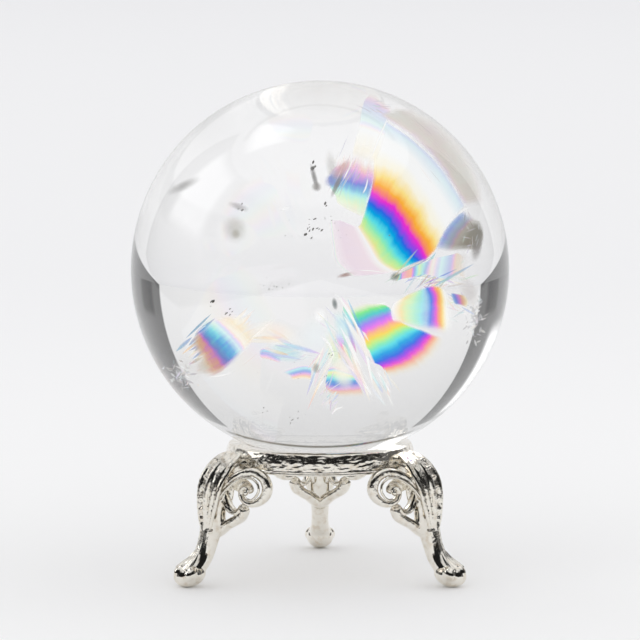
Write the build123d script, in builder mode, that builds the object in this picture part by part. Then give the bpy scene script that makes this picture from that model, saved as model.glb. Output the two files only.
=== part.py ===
from build123d import *
import math
import os

# A polished rock-crystal ball resting on a cast, plated metal stand: a seat ring
# carried by three ornamental legs, each held to the ring by one screw from inside.
# Millimetres, +Z up, origin on the table under the ball's centre. The rear leg
# points along +Y and the other two stand 120 degrees to either side of it.

# ---- Driving dimensions ----
BALL_RADIUS = 30.0
STAND_HEIGHT = 21.3
RING_OUTER_RADIUS = 15.2
RING_INNER_RADIUS = 11.3
RING_HEIGHT = 3.4
SEAT_EDGE_RADIUS = 12.0
SEAT_CLEARANCE = 0.05
FOOT_RADIUS = 23.6
LEG_ANGLES = {"rear": 90.0, "front_left": 210.0, "front_right": 330.0}

# ---- Seat ring: solid cast band with a dished seat and a fine bead at the foot ----
RING_BOTTOM = STAND_HEIGHT - RING_HEIGHT
RING_WALL_RADIUS = RING_OUTER_RADIUS - 0.2
RING_TOP_ROUND = 0.7
RING_BEAD_HEIGHT = 0.5

# ---- Ball: its centre is where it rests in the ring's dished seat ----
SEAT_SPHERE = BALL_RADIUS + SEAT_CLEARANCE
BALL_CENTRE_Z = STAND_HEIGHT + math.sqrt(SEAT_SPHERE**2 - SEAT_EDGE_RADIUS**2)
BALL_REST_Z = BALL_CENTRE_Z - SEAT_CLEARANCE

# ---- Screws, one for each leg, driven outwards through the ring ----
SCREW_Z = RING_BOTTOM + 1.65
SCREW_RADIUS = 0.8
SCREW_HOLE_RADIUS = 0.82
SCREW_END_RADIUS = 17.6
SCREW_HOLE_END_RADIUS = 17.9
HEAD_RADIUS = 1.2
HEAD_BORE_RADIUS = 1.3
HEAD_HEIGHT = 0.8
HEAD_BORE_DEPTH = 1.2
SLOT_WIDTH = 0.4
SLOT_DEPTH = 0.4

# ---- Leg: side outline of the web between the scrolls, and of the leaf over it ----
# (distance from the axis, height)
WEB_WIDTH = 4.2
WEB_FRONT = [(14.5, 20.3), (18.0, 19.4), (19.9, 17.2), (20.5, 13.6), (20.3, 9.6)]
WEB_BACK = [(17.9, 9.6), (17.5, 12.5), (17.0, 15.2), (14.5, 17.2)]
LEAF_THICKNESS = 1.2
LEAF_HALF_WIDTH = 3.2
LEAF_FRONT = [(15.6, 21.0), (18.6, 20.1), (20.7, 18.2), (21.6, 14.6), (21.5, 11.2), (21.2, 8.9)]

# ---- Leg: shank stations from the leaf down to the paw ----
# (distance from the axis, height, half thickness outwards, half width, lean in degrees)
SHANK = [
    (19.45, 10.8, 1.80, 1.95, 0.0),
    (20.05, 8.0, 1.60, 1.55, -10.0),
    (20.75, 5.6, 1.50, 1.45, -22.0),
    (21.80, 3.7, 1.55, 1.60, -42.0),
    (23.10, 2.6, 1.60, 1.80, -62.0),
]
PAW_HALF_LENGTH = 2.9
PAW_HALF_WIDTH = 2.2
PAW_CENTRE_Z = 2.1
PAW_PITCH = 18.0

# ---- Leg: the two side scrolls, in upright planes set back along the ring ----
# (distance along the plane from where it is square to the ring, height)
SCROLL_SWEEP = 33.0
SCROLL_FRONT = 17.0
SCROLL_DEPTH = 2.4
PLATE_DEPTH = 0.8
VOLUTE_WIDTH = 1.3
VOLUTE_LINE = [
    (-10.3, 10.4),
    (-9.4, 13.4),
    (-8.2, 15.6),
    (-6.2, 17.6),
    (-3.6, 18.3),
    (-1.7, 17.4),
    (-1.1, 15.6),
    (-1.8, 13.9),
    (-3.4, 13.1),
    (-4.9, 13.7),
]
VOLUTE_EYE = (-4.6, 15.0)
VOLUTE_EYE_RADIUS = 0.95
PLATE_RADIUS = 2.9
HOOK_WIDTH = 0.9
HOOK_LINE = [(-8.0, 14.8), (-7.7, 12.8), (-6.4, 11.6), (-4.9, 12.3)]
ARM_WIDTH = 1.5
ARM_LINE = [(-10.0, 7.6), (-8.4, 9.3), (-6.9, 10.3), (-5.6, 11.0), (-4.8, 12.0)]


SCROLL_OUTWARD = (math.cos(math.radians(SCROLL_SWEEP)), math.sin(math.radians(SCROLL_SWEEP)), 0)
SCROLL_ALONG = (-SCROLL_OUTWARD[1], SCROLL_OUTWARD[0], 0)
SCROLL_PLANE = Plane(
    origin=(SCROLL_FRONT * SCROLL_OUTWARD[0], SCROLL_FRONT * SCROLL_OUTWARD[1], 0),
    x_dir=SCROLL_ALONG,
    z_dir=SCROLL_OUTWARD,
)

# ---- Crystal ball: one solid sphere of quartz ----
with BuildPart() as crystal_ball:
    with BuildSketch(Plane.XZ):
        with Locations((0, BALL_REST_Z)):
            Circle(BALL_RADIUS)
        with Locations((-BALL_RADIUS, BALL_REST_Z)):
            Rectangle(2 * BALL_RADIUS, 3 * BALL_RADIUS, mode=Mode.SUBTRACT)
    revolve(axis=Axis.Z)

# ---- Section of the ring, which also shapes the legs' faces that fit against it ----
with BuildSketch(Plane.XZ) as ring_section:
    with BuildLine():
        seat_foot_z = BALL_CENTRE_Z - math.sqrt(SEAT_SPHERE**2 - RING_INNER_RADIUS**2)
        seat_middle_radius = (SEAT_EDGE_RADIUS + RING_INNER_RADIUS) / 2
        seat_middle_z = BALL_CENTRE_Z - math.sqrt(SEAT_SPHERE**2 - seat_middle_radius**2)
        ThreePointArc(
            (SEAT_EDGE_RADIUS, STAND_HEIGHT),
            (seat_middle_radius, seat_middle_z),
            (RING_INNER_RADIUS, seat_foot_z),
        )
        Polyline(
            (RING_INNER_RADIUS, seat_foot_z),
            (RING_INNER_RADIUS, RING_BOTTOM),
            (RING_OUTER_RADIUS, RING_BOTTOM),
            (RING_OUTER_RADIUS, RING_BOTTOM + RING_BEAD_HEIGHT),
            (RING_WALL_RADIUS, RING_BOTTOM + 1.5 * RING_BEAD_HEIGHT),
            (RING_WALL_RADIUS, STAND_HEIGHT - RING_TOP_ROUND),
        )
        RadiusArc(
            (RING_WALL_RADIUS, STAND_HEIGHT - RING_TOP_ROUND),
            (RING_WALL_RADIUS - RING_TOP_ROUND, STAND_HEIGHT),
            -RING_TOP_ROUND,
        )
        Line((RING_WALL_RADIUS - RING_TOP_ROUND, STAND_HEIGHT), (SEAT_EDGE_RADIUS, STAND_HEIGHT))
    make_face()

# ---- Seat ring: the section turned about the axis, drilled for the three leg screws ----
with BuildPart() as seat_ring:
    revolve(ring_section.sketch, axis=Axis.Z)
    for angle in LEG_ANGLES.values():
        inner_wall = Plane(
            origin=(
                RING_INNER_RADIUS * math.cos(math.radians(angle)),
                RING_INNER_RADIUS * math.sin(math.radians(angle)),
                SCREW_Z,
            ),
            z_dir=(-math.cos(math.radians(angle)), -math.sin(math.radians(angle)), 0),
        )
        with Locations(inner_wall):
            CounterBoreHole(
                radius=SCREW_HOLE_RADIUS,
                counter_bore_radius=HEAD_BORE_RADIUS,
                counter_bore_depth=HEAD_BORE_DEPTH,
                depth=RING_OUTER_RADIUS - RING_INNER_RADIUS,
            )

# ---- Leaf: the acanthus leaf's blank, cast over the front of the leg's web ----
with BuildPart() as leaf:
    with BuildSketch(Plane.XZ):
        with BuildLine():
            leaf_front = Spline(*LEAF_FRONT)
            leaf_back = Spline(*[(x - LEAF_THICKNESS, z - 0.2) for x, z in LEAF_FRONT])
            Line(leaf_front @ 0, leaf_back @ 0)
            Line(leaf_front @ 1, leaf_back @ 1)
        make_face()
    extrude(amount=LEAF_HALF_WIDTH, both=True)
    with BuildSketch(Plane.YZ):
        with BuildLine():
            leaf_top = LEAF_FRONT[0][1]
            leaf_tip = LEAF_FRONT[-1][1]
            leaf_side = Spline(
                (0, leaf_top),
                (0.75 * LEAF_HALF_WIDTH, leaf_top - 1.0),
                (LEAF_HALF_WIDTH, leaf_top - 4.0),
                (0.7 * LEAF_HALF_WIDTH, leaf_tip + 3.5),
                (0, leaf_tip),
            )
            mirror(leaf_side, about=Plane.YZ)
        make_face()
    extrude(amount=2 * RING_OUTER_RADIUS, mode=Mode.INTERSECT)

# ---- Leg, made once along +X: web, leaf, shank, paw and both scrolls in one casting ----
with BuildPart() as leg:
    with BuildSketch(Plane.XZ):
        with BuildLine():
            web_front = Spline(*WEB_FRONT)
            web_back = Spline(*WEB_BACK)
            Line(web_front @ 1, web_back @ 0)
            Line(web_back @ 1, web_front @ 0)
        make_face()
    extrude(amount=WEB_WIDTH / 2, both=True)
    add(leaf.part)
    for distance, height, half_thickness, half_width, lean in SHANK:
        station = Plane(
            origin=(distance, 0, height),
            x_dir=(math.cos(math.radians(lean)), 0, -math.sin(math.radians(lean))),
            z_dir=(math.sin(math.radians(lean)), 0, math.cos(math.radians(lean))),
        )
        with BuildSketch(station):
            Ellipse(half_thickness, half_width)
    loft()
    paw_axis = Vector(math.cos(math.radians(PAW_PITCH)), 0, -math.sin(math.radians(PAW_PITCH)))
    paw_plane = Plane(origin=(FOOT_RADIUS, 0, PAW_CENTRE_Z), x_dir=paw_axis, z_dir=(0, -1, 0))
    with BuildSketch(paw_plane):
        Ellipse(PAW_HALF_LENGTH, PAW_HALF_WIDTH)
        with Locations((0, -PAW_HALF_WIDTH)):
            Rectangle(4 * PAW_HALF_LENGTH, 2 * PAW_HALF_WIDTH, mode=Mode.SUBTRACT)
    revolve(axis=Axis(paw_plane.origin, paw_axis))
    with BuildSketch(SCROLL_PLANE):
        for points, width in (
            (VOLUTE_LINE, VOLUTE_WIDTH),
            (HOOK_LINE, HOOK_WIDTH),
            (ARM_LINE, ARM_WIDTH),
        ):
            with BuildLine() as scroll_line:
                Spline(*points)
            trace(scroll_line.line, line_width=width)
        with Locations(VOLUTE_EYE):
            Circle(VOLUTE_EYE_RADIUS)
    extrude(amount=-SCROLL_DEPTH)
    with BuildSketch(SCROLL_PLANE.offset(PLATE_DEPTH - SCROLL_DEPTH)):
        with Locations((VOLUTE_EYE[0] + 0.6, VOLUTE_EYE[1] + 0.6)):
            Circle(PLATE_RADIUS)
    extrude(amount=-PLATE_DEPTH)
    mirror(about=Plane.XZ)
    revolve(ring_section.sketch, axis=Axis.Z, mode=Mode.SUBTRACT)
    screw_bore = Plane(origin=(SCREW_HOLE_END_RADIUS, 0, SCREW_Z), z_dir=(-1, 0, 0))
    with BuildSketch(screw_bore):
        Circle(SCREW_HOLE_RADIUS)
    extrude(amount=SCREW_HOLE_END_RADIUS - RING_INNER_RADIUS, mode=Mode.SUBTRACT)
    split(bisect_by=Plane.XY, keep=Keep.TOP)

# ---- Leg screw, made once along +X: shank with a slotted cheese head ----
with BuildPart() as leg_screw:
    head_seat_radius = RING_INNER_RADIUS + HEAD_BORE_DEPTH
    with BuildSketch(Plane(origin=(head_seat_radius, 0, SCREW_Z), z_dir=(1, 0, 0))):
        Circle(SCREW_RADIUS)
    extrude(amount=SCREW_END_RADIUS - head_seat_radius)
    chamfer(leg_screw.faces().sort_by(Axis.X)[-1].edges(), length=SCREW_RADIUS / 4)
    head_top = Plane(origin=(head_seat_radius, 0, SCREW_Z), z_dir=(-1, 0, 0))
    with BuildSketch(head_top):
        Circle(HEAD_RADIUS)
    extrude(amount=HEAD_HEIGHT)
    with BuildSketch(head_top.offset(HEAD_HEIGHT)):
        Rectangle(3 * HEAD_RADIUS, SLOT_WIDTH)
    extrude(amount=-SLOT_DEPTH, mode=Mode.SUBTRACT)

# ---- Write each piece to its own file ----
os.makedirs("parts", exist_ok=True)
crystal_ball.part.label = "crystal_ball"
export_step(crystal_ball.part, "parts/crystal_ball.step")
seat_ring.part.label = "seat_ring"
export_step(seat_ring.part, "parts/seat_ring.step")
for place, angle in LEG_ANGLES.items():
    for pattern, name in ((leg, "leg"), (leg_screw, "leg_screw")):
        with BuildPart() as placed:
            with Locations(Rotation(0, 0, angle)):
                add(pattern.part)
        placed.part.label = f"{name}_{place}"
        export_step(placed.part, f"parts/{name}_{place}.step")
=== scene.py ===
"""A crystal ball on its scrolled stand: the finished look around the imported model.

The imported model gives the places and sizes. This script replaces the ball, the seat
ring and the three legs by detailed meshes, lays the ball's fractures inside it, gives
every piece its finish, and sets the studio and the camera.
"""

import logging
import math
import random
from dataclasses import dataclass, field
from enum import Enum
from typing import Iterable, Sequence

import bmesh
import bpy
from mathutils import Matrix, Vector, noise


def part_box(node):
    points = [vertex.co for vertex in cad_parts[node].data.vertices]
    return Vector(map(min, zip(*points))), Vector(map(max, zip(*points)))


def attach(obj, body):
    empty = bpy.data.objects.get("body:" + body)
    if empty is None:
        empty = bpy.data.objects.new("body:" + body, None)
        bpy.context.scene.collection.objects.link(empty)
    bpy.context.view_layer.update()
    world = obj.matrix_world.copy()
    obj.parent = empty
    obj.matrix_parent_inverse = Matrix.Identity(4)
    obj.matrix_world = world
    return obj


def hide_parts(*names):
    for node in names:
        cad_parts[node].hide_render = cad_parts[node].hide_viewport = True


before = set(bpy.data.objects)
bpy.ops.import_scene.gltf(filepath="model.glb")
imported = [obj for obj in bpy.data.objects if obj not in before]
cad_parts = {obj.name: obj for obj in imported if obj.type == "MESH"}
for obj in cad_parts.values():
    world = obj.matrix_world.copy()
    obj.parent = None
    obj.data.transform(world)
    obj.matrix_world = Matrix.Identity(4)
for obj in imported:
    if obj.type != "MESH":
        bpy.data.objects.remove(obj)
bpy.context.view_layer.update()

LOG = logging.getLogger("crystal_ball")
MM = 0.001

Point = tuple[float, ...]
Colour = tuple[float, float, float]


class Slot(Enum):
    """The record's material slots."""

    QUARTZ = "quartz"
    PLATING = "plated_casting"


class Body(Enum):
    """The bodies that the pieces ride on."""

    BALL = "ball"
    STAND = "stand"


class Shape(Enum):
    """How square a bar's section is: the power that its round section is raised to."""

    ROUND = 1.0
    CUSHION = 0.75
    SLAB = 0.5


# ---------------------------------------------------------------------------
# Small geometry helpers
# ---------------------------------------------------------------------------


def linear(red: int, green: int, blue: int) -> Colour:
    """Turns an 8-bit display colour into the linear colour that shaders take.

    Args:
        red: Red, 0 to 255.
        green: Green, 0 to 255.
        blue: Blue, 0 to 255.

    Returns:
        The linear colour.
    """
    out = []
    for value in (red, green, blue):
        c = value / 255
        out.append(c / 12.92 if c <= 0.04045 else ((c + 0.055) / 1.055) ** 2.4)
    return (out[0], out[1], out[2])


def smooth_path(points: Sequence[Point], steps: int) -> list[Point]:
    """Runs a smooth curve through points of any number of values.

    Args:
        points: The points that the curve passes through.
        steps: How many steps each stretch between two points is cut into.

    Returns:
        Points along the curve, the first and the last point included.
    """
    ends = [
        tuple(2 * a - b for a, b in zip(points[0], points[1])),
        *points,
        tuple(2 * a - b for a, b in zip(points[-1], points[-2])),
    ]
    path = []
    for i in range(1, len(ends) - 2):
        for step in range(steps):
            t = step / steps
            path.append(
                tuple(
                    0.5
                    * (
                        2 * b
                        + (c - a) * t
                        + (2 * a - 5 * b + 4 * c - d) * t * t
                        + (3 * b - a - 3 * c + d) * t * t * t
                    )
                    for a, b, c, d in zip(ends[i - 1], ends[i], ends[i + 1], ends[i + 2])
                )
            )
    path.append(tuple(points[-1]))
    return path


def take_mesh(work: bmesh.types.BMesh, name: str) -> bpy.types.Mesh:
    """Turns finished mesh work into a mesh with a name."""
    mesh = bpy.data.meshes.new(name)
    work.to_mesh(mesh)
    work.free()
    return mesh


def add_object(name: str, mesh: bpy.types.Mesh) -> bpy.types.Object:
    """Puts a mesh into the scene as a smooth-shaded object at the origin."""
    mesh.shade_smooth()
    piece = bpy.data.objects.new(name, mesh)
    bpy.context.scene.collection.objects.link(piece)
    return piece


def dress(
    piece: bpy.types.Object, material: bpy.types.Material, body: Body, slot: Slot
) -> bpy.types.Object:
    """Gives a piece its finish and the body that it rides on."""
    piece.data.materials.clear()
    piece.data.materials.append(material)
    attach(piece, body.value)
    return piece


@dataclass(frozen=True)
class Station:
    """One section along a bar: its centre and its two half axes."""

    centre: Vector
    across: Vector
    through: Vector

    def matrix(self) -> Matrix:
        """The transform that takes a unit circle to this section."""
        along = self.across.cross(self.through).normalized()
        matrix = Matrix((self.across, self.through, along)).transposed().to_4x4()
        matrix.translation = self.centre
        return matrix


@dataclass(frozen=True)
class WorkPlane:
    """A plane that flat bars and scrolls are drawn on."""

    origin: Vector
    right: Vector
    up: Vector

    def normal(self) -> Vector:
        """The plane's normal."""
        return self.right.cross(self.up).normalized()

    def point(self, u: float, v: float, out: float = 0.0) -> Vector:
        """A point on the plane, or out of it along its normal."""
        return self.origin + self.right * u + self.up * v + self.normal() * out


class Casting:
    """Metal being built up from bars and beads, in millimetres, then fused into one skin."""

    def __init__(self) -> None:
        """Starts with no metal."""
        self.mesh = bmesh.new()

    def bar(self, stations: Sequence[Station], shape: Shape, segments: int = 16) -> None:
        """Adds a bar through a row of sections, closed at both ends.

        Args:
            stations: The sections, in order along the bar.
            shape: How square the section is.
            segments: The number of corners that a section has.
        """
        made = bmesh.ops.create_circle(self.mesh, cap_ends=False, radius=1.0, segments=segments)
        loop = made["verts"]
        for vertex in loop:
            for axis in (0, 1):
                value = vertex.co[axis]
                vertex.co[axis] = math.copysign(abs(value) ** shape.value, value)
        previous = stations[0].matrix()
        bmesh.ops.transform(self.mesh, matrix=previous, verts=loop)
        edges = list({edge for vertex in loop for edge in vertex.link_edges})
        ends = list(edges)
        for station in stations[1:]:
            grown = bmesh.ops.extrude_edge_only(self.mesh, edges=edges)["geom"]
            loop = [item for item in grown if isinstance(item, bmesh.types.BMVert)]
            edges = [item for item in grown if isinstance(item, bmesh.types.BMEdge)]
            step = station.matrix() @ previous.inverted()
            bmesh.ops.transform(self.mesh, matrix=step, verts=loop)
            previous = station.matrix()
        bmesh.ops.holes_fill(self.mesh, edges=ends + edges, sides=0)

    def flat_bar(
        self,
        plane: WorkPlane,
        points: Sequence[Point],
        shape: Shape,
        out: float = 0.0,
        steps: int = 6,
        round_ends: bool = True,
    ) -> None:
        """Adds a bar whose centre line lies on a plane.

        Args:
            plane: The plane that the centre line lies on.
            points: Each (right, up, half width on the plane, half depth through it,
                how far out of the plane).
            shape: How square the section is.
            out: How much further the whole line stands out of the plane.
            steps: How many sections each stretch between two points has.
            round_ends: Whether the ends are rounded over.
        """
        path = smooth_path([(*point, 0.0)[:5] for point in points], steps)
        stations = []
        for i, (u, v, width, depth, lift) in enumerate(path):
            before, after = path[max(i - 1, 0)], path[min(i + 1, len(path) - 1)]
            along = plane.right * (after[0] - before[0]) + plane.up * (after[1] - before[1])
            across = plane.normal().cross(along.normalized())
            stations.append(
                Station(plane.point(u, v, out + lift), across * width, plane.normal() * depth)
            )
        self.bar(rounded(stations) if round_ends else stations, shape)

    def rod(self, points: Sequence[Point], steps: int = 6, segments: int = 12) -> None:
        """Adds a round rod through points in space, each (x, y, z, radius)."""
        path = smooth_path(points, steps)
        stations = []
        for i, (x, y, z, radius) in enumerate(path):
            before, after = path[max(i - 1, 0)], path[min(i + 1, len(path) - 1)]
            along = (Vector(after[:3]) - Vector(before[:3])).normalized()
            across = along.cross(Vector((0.0, 1.0, 0.0))).normalized()
            through = along.cross(across)
            stations.append(Station(Vector((x, y, z)), across * radius, through * radius))
        self.bar(rounded(stations), Shape.ROUND, segments)

    def bead(self, centre: Vector, radii: Vector, turn: Matrix | None = None) -> None:
        """Adds an egg-shaped bead with three half axes, turned about its centre."""
        matrix = Matrix.Translation(centre) @ (turn or Matrix.Identity(4)) @ Matrix.Diagonal(
            radii.to_4d()
        )
        bmesh.ops.create_icosphere(self.mesh, subdivisions=3, radius=1.0, matrix=matrix)

    def mirror(self) -> None:
        """Adds the mirror image of everything so far, across the plane y = 0."""
        geom = self.mesh.verts[:] + self.mesh.edges[:] + self.mesh.faces[:]
        copied = bmesh.ops.duplicate(self.mesh, geom=geom)["geom"]
        verts = [item for item in copied if isinstance(item, bmesh.types.BMVert)]
        faces = [item for item in copied if isinstance(item, bmesh.types.BMFace)]
        bmesh.ops.transform(
            self.mesh, matrix=Matrix.Diagonal((1.0, -1.0, 1.0, 1.0)), verts=verts
        )
        bmesh.ops.reverse_faces(self.mesh, faces=faces)

    def fuse(self, name: str, voxel: float, smoothing: int) -> bpy.types.Mesh:
        """Fuses all the metal into one skin, as it comes out of the mould.

        Args:
            name: The new mesh's name.
            voxel: The fineness of the skin, in millimetres.
            smoothing: How many times the skin is smoothed.

        Returns:
            The skin, still in millimetres.
        """
        bmesh.ops.recalc_face_normals(self.mesh, faces=self.mesh.faces[:])
        rough = bpy.data.meshes.new(name + "_rough")
        self.mesh.to_mesh(rough)
        self.mesh.free()
        piece = bpy.data.objects.new(name + "_rough", rough)
        bpy.context.scene.collection.objects.link(piece)
        remesh = piece.modifiers.new("skin", "REMESH")
        remesh.mode = "VOXEL"
        remesh.voxel_size = voxel
        bpy.context.view_layer.update()
        evaluated = piece.evaluated_get(bpy.context.evaluated_depsgraph_get())
        mesh = bpy.data.meshes.new_from_object(evaluated)
        mesh.name = name
        bpy.data.objects.remove(piece)
        bpy.data.meshes.remove(rough)
        work = bmesh.new()
        work.from_mesh(mesh)
        for _ in range(smoothing):
            bmesh.ops.smooth_vert(
                work, verts=work.verts, factor=0.5,
                use_axis_x=True, use_axis_y=True, use_axis_z=True,
            )
        work.to_mesh(mesh)
        work.free()
        return mesh


def rounded(stations: Sequence[Station]) -> list[Station]:
    """Adds shrinking sections at both ends of a bar, so that they come out rounded."""
    start, end = list(stations[:2]), list(stations[-2:])
    out: list[Station] = []

    def cap(last: Station, inner: Station) -> list[Station]:
        """The shrinking sections past one end."""
        along = (last.centre - inner.centre).normalized()
        reach = min(last.across.length, last.through.length)
        caps = []
        for angle in (25, 50, 72, 86):
            shrink, push = math.cos(math.radians(angle)), math.sin(math.radians(angle))
            caps.append(
                Station(
                    last.centre + along * reach * push,
                    last.across * shrink,
                    last.through * shrink,
                )
            )
        return caps

    out.extend(reversed(cap(start[0], start[1])))
    out.extend(stations)
    out.extend(cap(end[1], end[0]))
    return out


# ---------------------------------------------------------------------------
# Shader helpers and finishes
# ---------------------------------------------------------------------------


class Nodes:
    """Adds and joins nodes in one node tree."""

    def __init__(self, tree: bpy.types.NodeTree) -> None:
        """Works on a tree as it is."""
        self.tree = tree

    def add(self, kind: str, **settings: object) -> bpy.types.Node:
        """Adds a node and sets its properties."""
        node = self.tree.nodes.new(kind)
        for key, value in settings.items():
            setattr(node, key, value)
        return node

    def place(self) -> bpy.types.NodeSocket:
        """The place on the object, in its own coordinates."""
        return self.add("ShaderNodeTexCoord").outputs["Object"]

    def feed(self, socket: bpy.types.NodeSocket, value: object) -> None:
        """Joins a socket to another node's output, or sets its own value."""
        if isinstance(value, bpy.types.NodeSocket):
            self.tree.links.new(value, socket)
        else:
            socket.default_value = value

    def math(self, operation: str, *values: object, clamp: bool = False) -> bpy.types.NodeSocket:
        """A sum of one, two or three values."""
        node = self.add("ShaderNodeMath", operation=operation, use_clamp=clamp)
        for socket, value in zip(node.inputs, values):
            self.feed(socket, value)
        return node.outputs[0]

    def span(
        self, value: object, low: float, high: float, start: float = 0.0, end: float = 1.0
    ) -> bpy.types.NodeSocket:
        """A smooth step from start to end while the value goes from low to high."""
        node = self.add("ShaderNodeMapRange", interpolation_type="SMOOTHSTEP")
        for name, number in (
            ("From Min", low), ("From Max", high), ("To Min", start), ("To Max", end),
        ):
            node.inputs[name].default_value = number
        self.feed(node.inputs["Value"], value)
        return node.outputs["Result"]

    def noise(
        self, vector: object, scale: float, detail: float = 3.0, rough: float = 0.55
    ) -> bpy.types.NodeSocket:
        """A noise value from 0 to 1."""
        node = self.add("ShaderNodeTexNoise")
        node.inputs["Scale"].default_value = scale
        node.inputs["Detail"].default_value = detail
        node.inputs["Roughness"].default_value = rough
        self.feed(node.inputs["Vector"], vector)
        return node.outputs["Fac"]

    def mix(self, factor: object, first: object, second: object) -> bpy.types.NodeSocket:
        """A colour between two colours."""
        node = self.add("ShaderNodeMix", data_type="RGBA")
        self.feed(node.inputs["Factor"], factor)
        for socket, value in ((node.inputs[6], first), (node.inputs[7], second)):
            self.feed(socket, value if isinstance(value, bpy.types.NodeSocket) else (*value, 1.0))
        return node.outputs[2]

    def ramp(
        self, value: object, stops: Sequence[tuple[float, Colour]]
    ) -> bpy.types.NodeSocket:
        """A colour taken from a row of stops."""
        node = self.add("ShaderNodeValToRGB")
        self.feed(node.inputs["Fac"], value)
        elements = node.color_ramp.elements
        while len(elements) < len(stops):
            elements.new(0.5)
        for element, (place, colour) in zip(elements, sorted(stops)):
            element.position = place
            element.color = (*colour, 1.0)
        return node.outputs["Color"]


def new_material(name: str) -> tuple[bpy.types.Material, Nodes, bpy.types.Node]:
    """Starts a material, and returns it with its nodes and its Principled shader."""
    material = bpy.data.materials.new(name)
    material.use_nodes = True
    nodes = Nodes(material.node_tree)
    shader = material.node_tree.nodes["Principled BSDF"]
    return material, nodes, shader


def cast_grain_group() -> bpy.types.NodeTree:
    """The fine grain of a plated casting, shared by the ring and the legs.

    Returns:
        A group with inputs Vector, Scale and Amount and outputs Height, Roughness
        and Tarnish.
    """
    tree = bpy.data.node_groups.new("cast_grain", "ShaderNodeTree")
    for name, kind in (
        ("Vector", "NodeSocketVector"), ("Scale", "NodeSocketFloat"), ("Amount", "NodeSocketFloat"),
    ):
        tree.interface.new_socket(name, in_out="INPUT", socket_type=kind)
    for name in ("Height", "Roughness", "Tarnish"):
        tree.interface.new_socket(name, in_out="OUTPUT", socket_type="NodeSocketFloat")
    nodes = Nodes(tree)
    source = nodes.add("NodeGroupInput")
    drain = nodes.add("NodeGroupOutput")
    scaled = nodes.add("ShaderNodeVectorMath", operation="SCALE")
    nodes.feed(scaled.inputs[0], source.outputs["Vector"])
    nodes.feed(scaled.inputs["Scale"], source.outputs["Scale"])
    vector = scaled.outputs[0]
    coarse = nodes.noise(vector, 1.0, 2.0, 0.5)
    fine = nodes.noise(vector, 4.3, 4.0, 0.65)
    pits = nodes.add("ShaderNodeTexVoronoi", feature="F1")
    pits.inputs["Scale"].default_value = 2.6
    nodes.feed(pits.inputs["Vector"], vector)
    pit_depth = nodes.span(pits.outputs["Distance"], 0.05, 0.45)
    height = nodes.math("MULTIPLY_ADD", coarse, 0.6, nodes.math("MULTIPLY", fine, 0.5))
    height = nodes.math("MULTIPLY_ADD", pit_depth, 0.35, height)
    nodes.feed(drain.inputs["Height"], nodes.math("MULTIPLY", height, source.outputs["Amount"]))
    roughness = nodes.math("MULTIPLY_ADD", fine, 0.12, 0.02)
    roughness = nodes.math("MULTIPLY", roughness, source.outputs["Amount"])
    nodes.feed(drain.inputs["Roughness"], roughness)
    nodes.feed(drain.inputs["Tarnish"], nodes.span(nodes.noise(vector, 0.35, 3.0), 0.45, 0.75))
    return tree


@dataclass(frozen=True)
class PlatingFinish:
    """Bright nickel-silver plating over a casting, smooth or grained by an attribute."""

    bright: Colour = linear(241, 237, 228)
    warm: Colour = linear(223, 213, 197)
    smooth_roughness: float = 0.045
    grain_per_mm: float = 2.6
    grain_depth_mm: float = 0.03

    def build(self, name: str, grain_group: bpy.types.NodeTree) -> bpy.types.Material:
        """Makes the material.

        Args:
            name: The material's name.
            grain_group: The shared grain node group.

        Returns:
            The material, which reads the float attribute grain.
        """
        material, nodes, shader = new_material(name)
        place = nodes.place()
        mask = nodes.add("ShaderNodeAttribute", attribute_name="grain").outputs["Fac"]
        grain = nodes.add("ShaderNodeGroup", node_tree=grain_group)
        nodes.feed(grain.inputs["Vector"], place)
        nodes.feed(grain.inputs["Scale"], self.grain_per_mm / MM)
        nodes.feed(grain.inputs["Amount"], nodes.math("MULTIPLY_ADD", mask, 0.95, 0.05))
        colour = nodes.mix(grain.outputs["Tarnish"], self.bright, self.warm)
        nodes.feed(shader.inputs["Base Color"], colour)
        shader.inputs["Metallic"].default_value = 1.0
        nodes.feed(
            shader.inputs["Roughness"],
            nodes.math("ADD", grain.outputs["Roughness"], self.smooth_roughness),
        )
        bump = nodes.add("ShaderNodeBump")
        bump.inputs["Strength"].default_value = 1.0
        bump.inputs["Distance"].default_value = self.grain_depth_mm * MM
        nodes.feed(bump.inputs["Height"], grain.outputs["Height"])
        nodes.feed(shader.inputs["Normal"], bump.outputs["Normal"])
        return material


@dataclass(frozen=True)
class ScrewFinish:
    """Plain bright steel with fine turning marks round the head."""

    colour: Colour = linear(196, 196, 194)
    marks_per_mm: float = 6.0
    mark_shade: float = 0.8

    def build(self, name: str) -> bpy.types.Material:
        """Makes the material."""
        material, nodes, shader = new_material(name)
        place = nodes.place()
        marks = nodes.noise(place, self.marks_per_mm / MM, 2.0)
        nodes.feed(
            shader.inputs["Base Color"],
            nodes.mix(marks, self.colour, tuple(self.mark_shade * c for c in self.colour)),
        )
        shader.inputs["Metallic"].default_value = 1.0
        nodes.feed(shader.inputs["Roughness"], nodes.math("MULTIPLY_ADD", marks, 0.2, 0.2))
        return material


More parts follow.
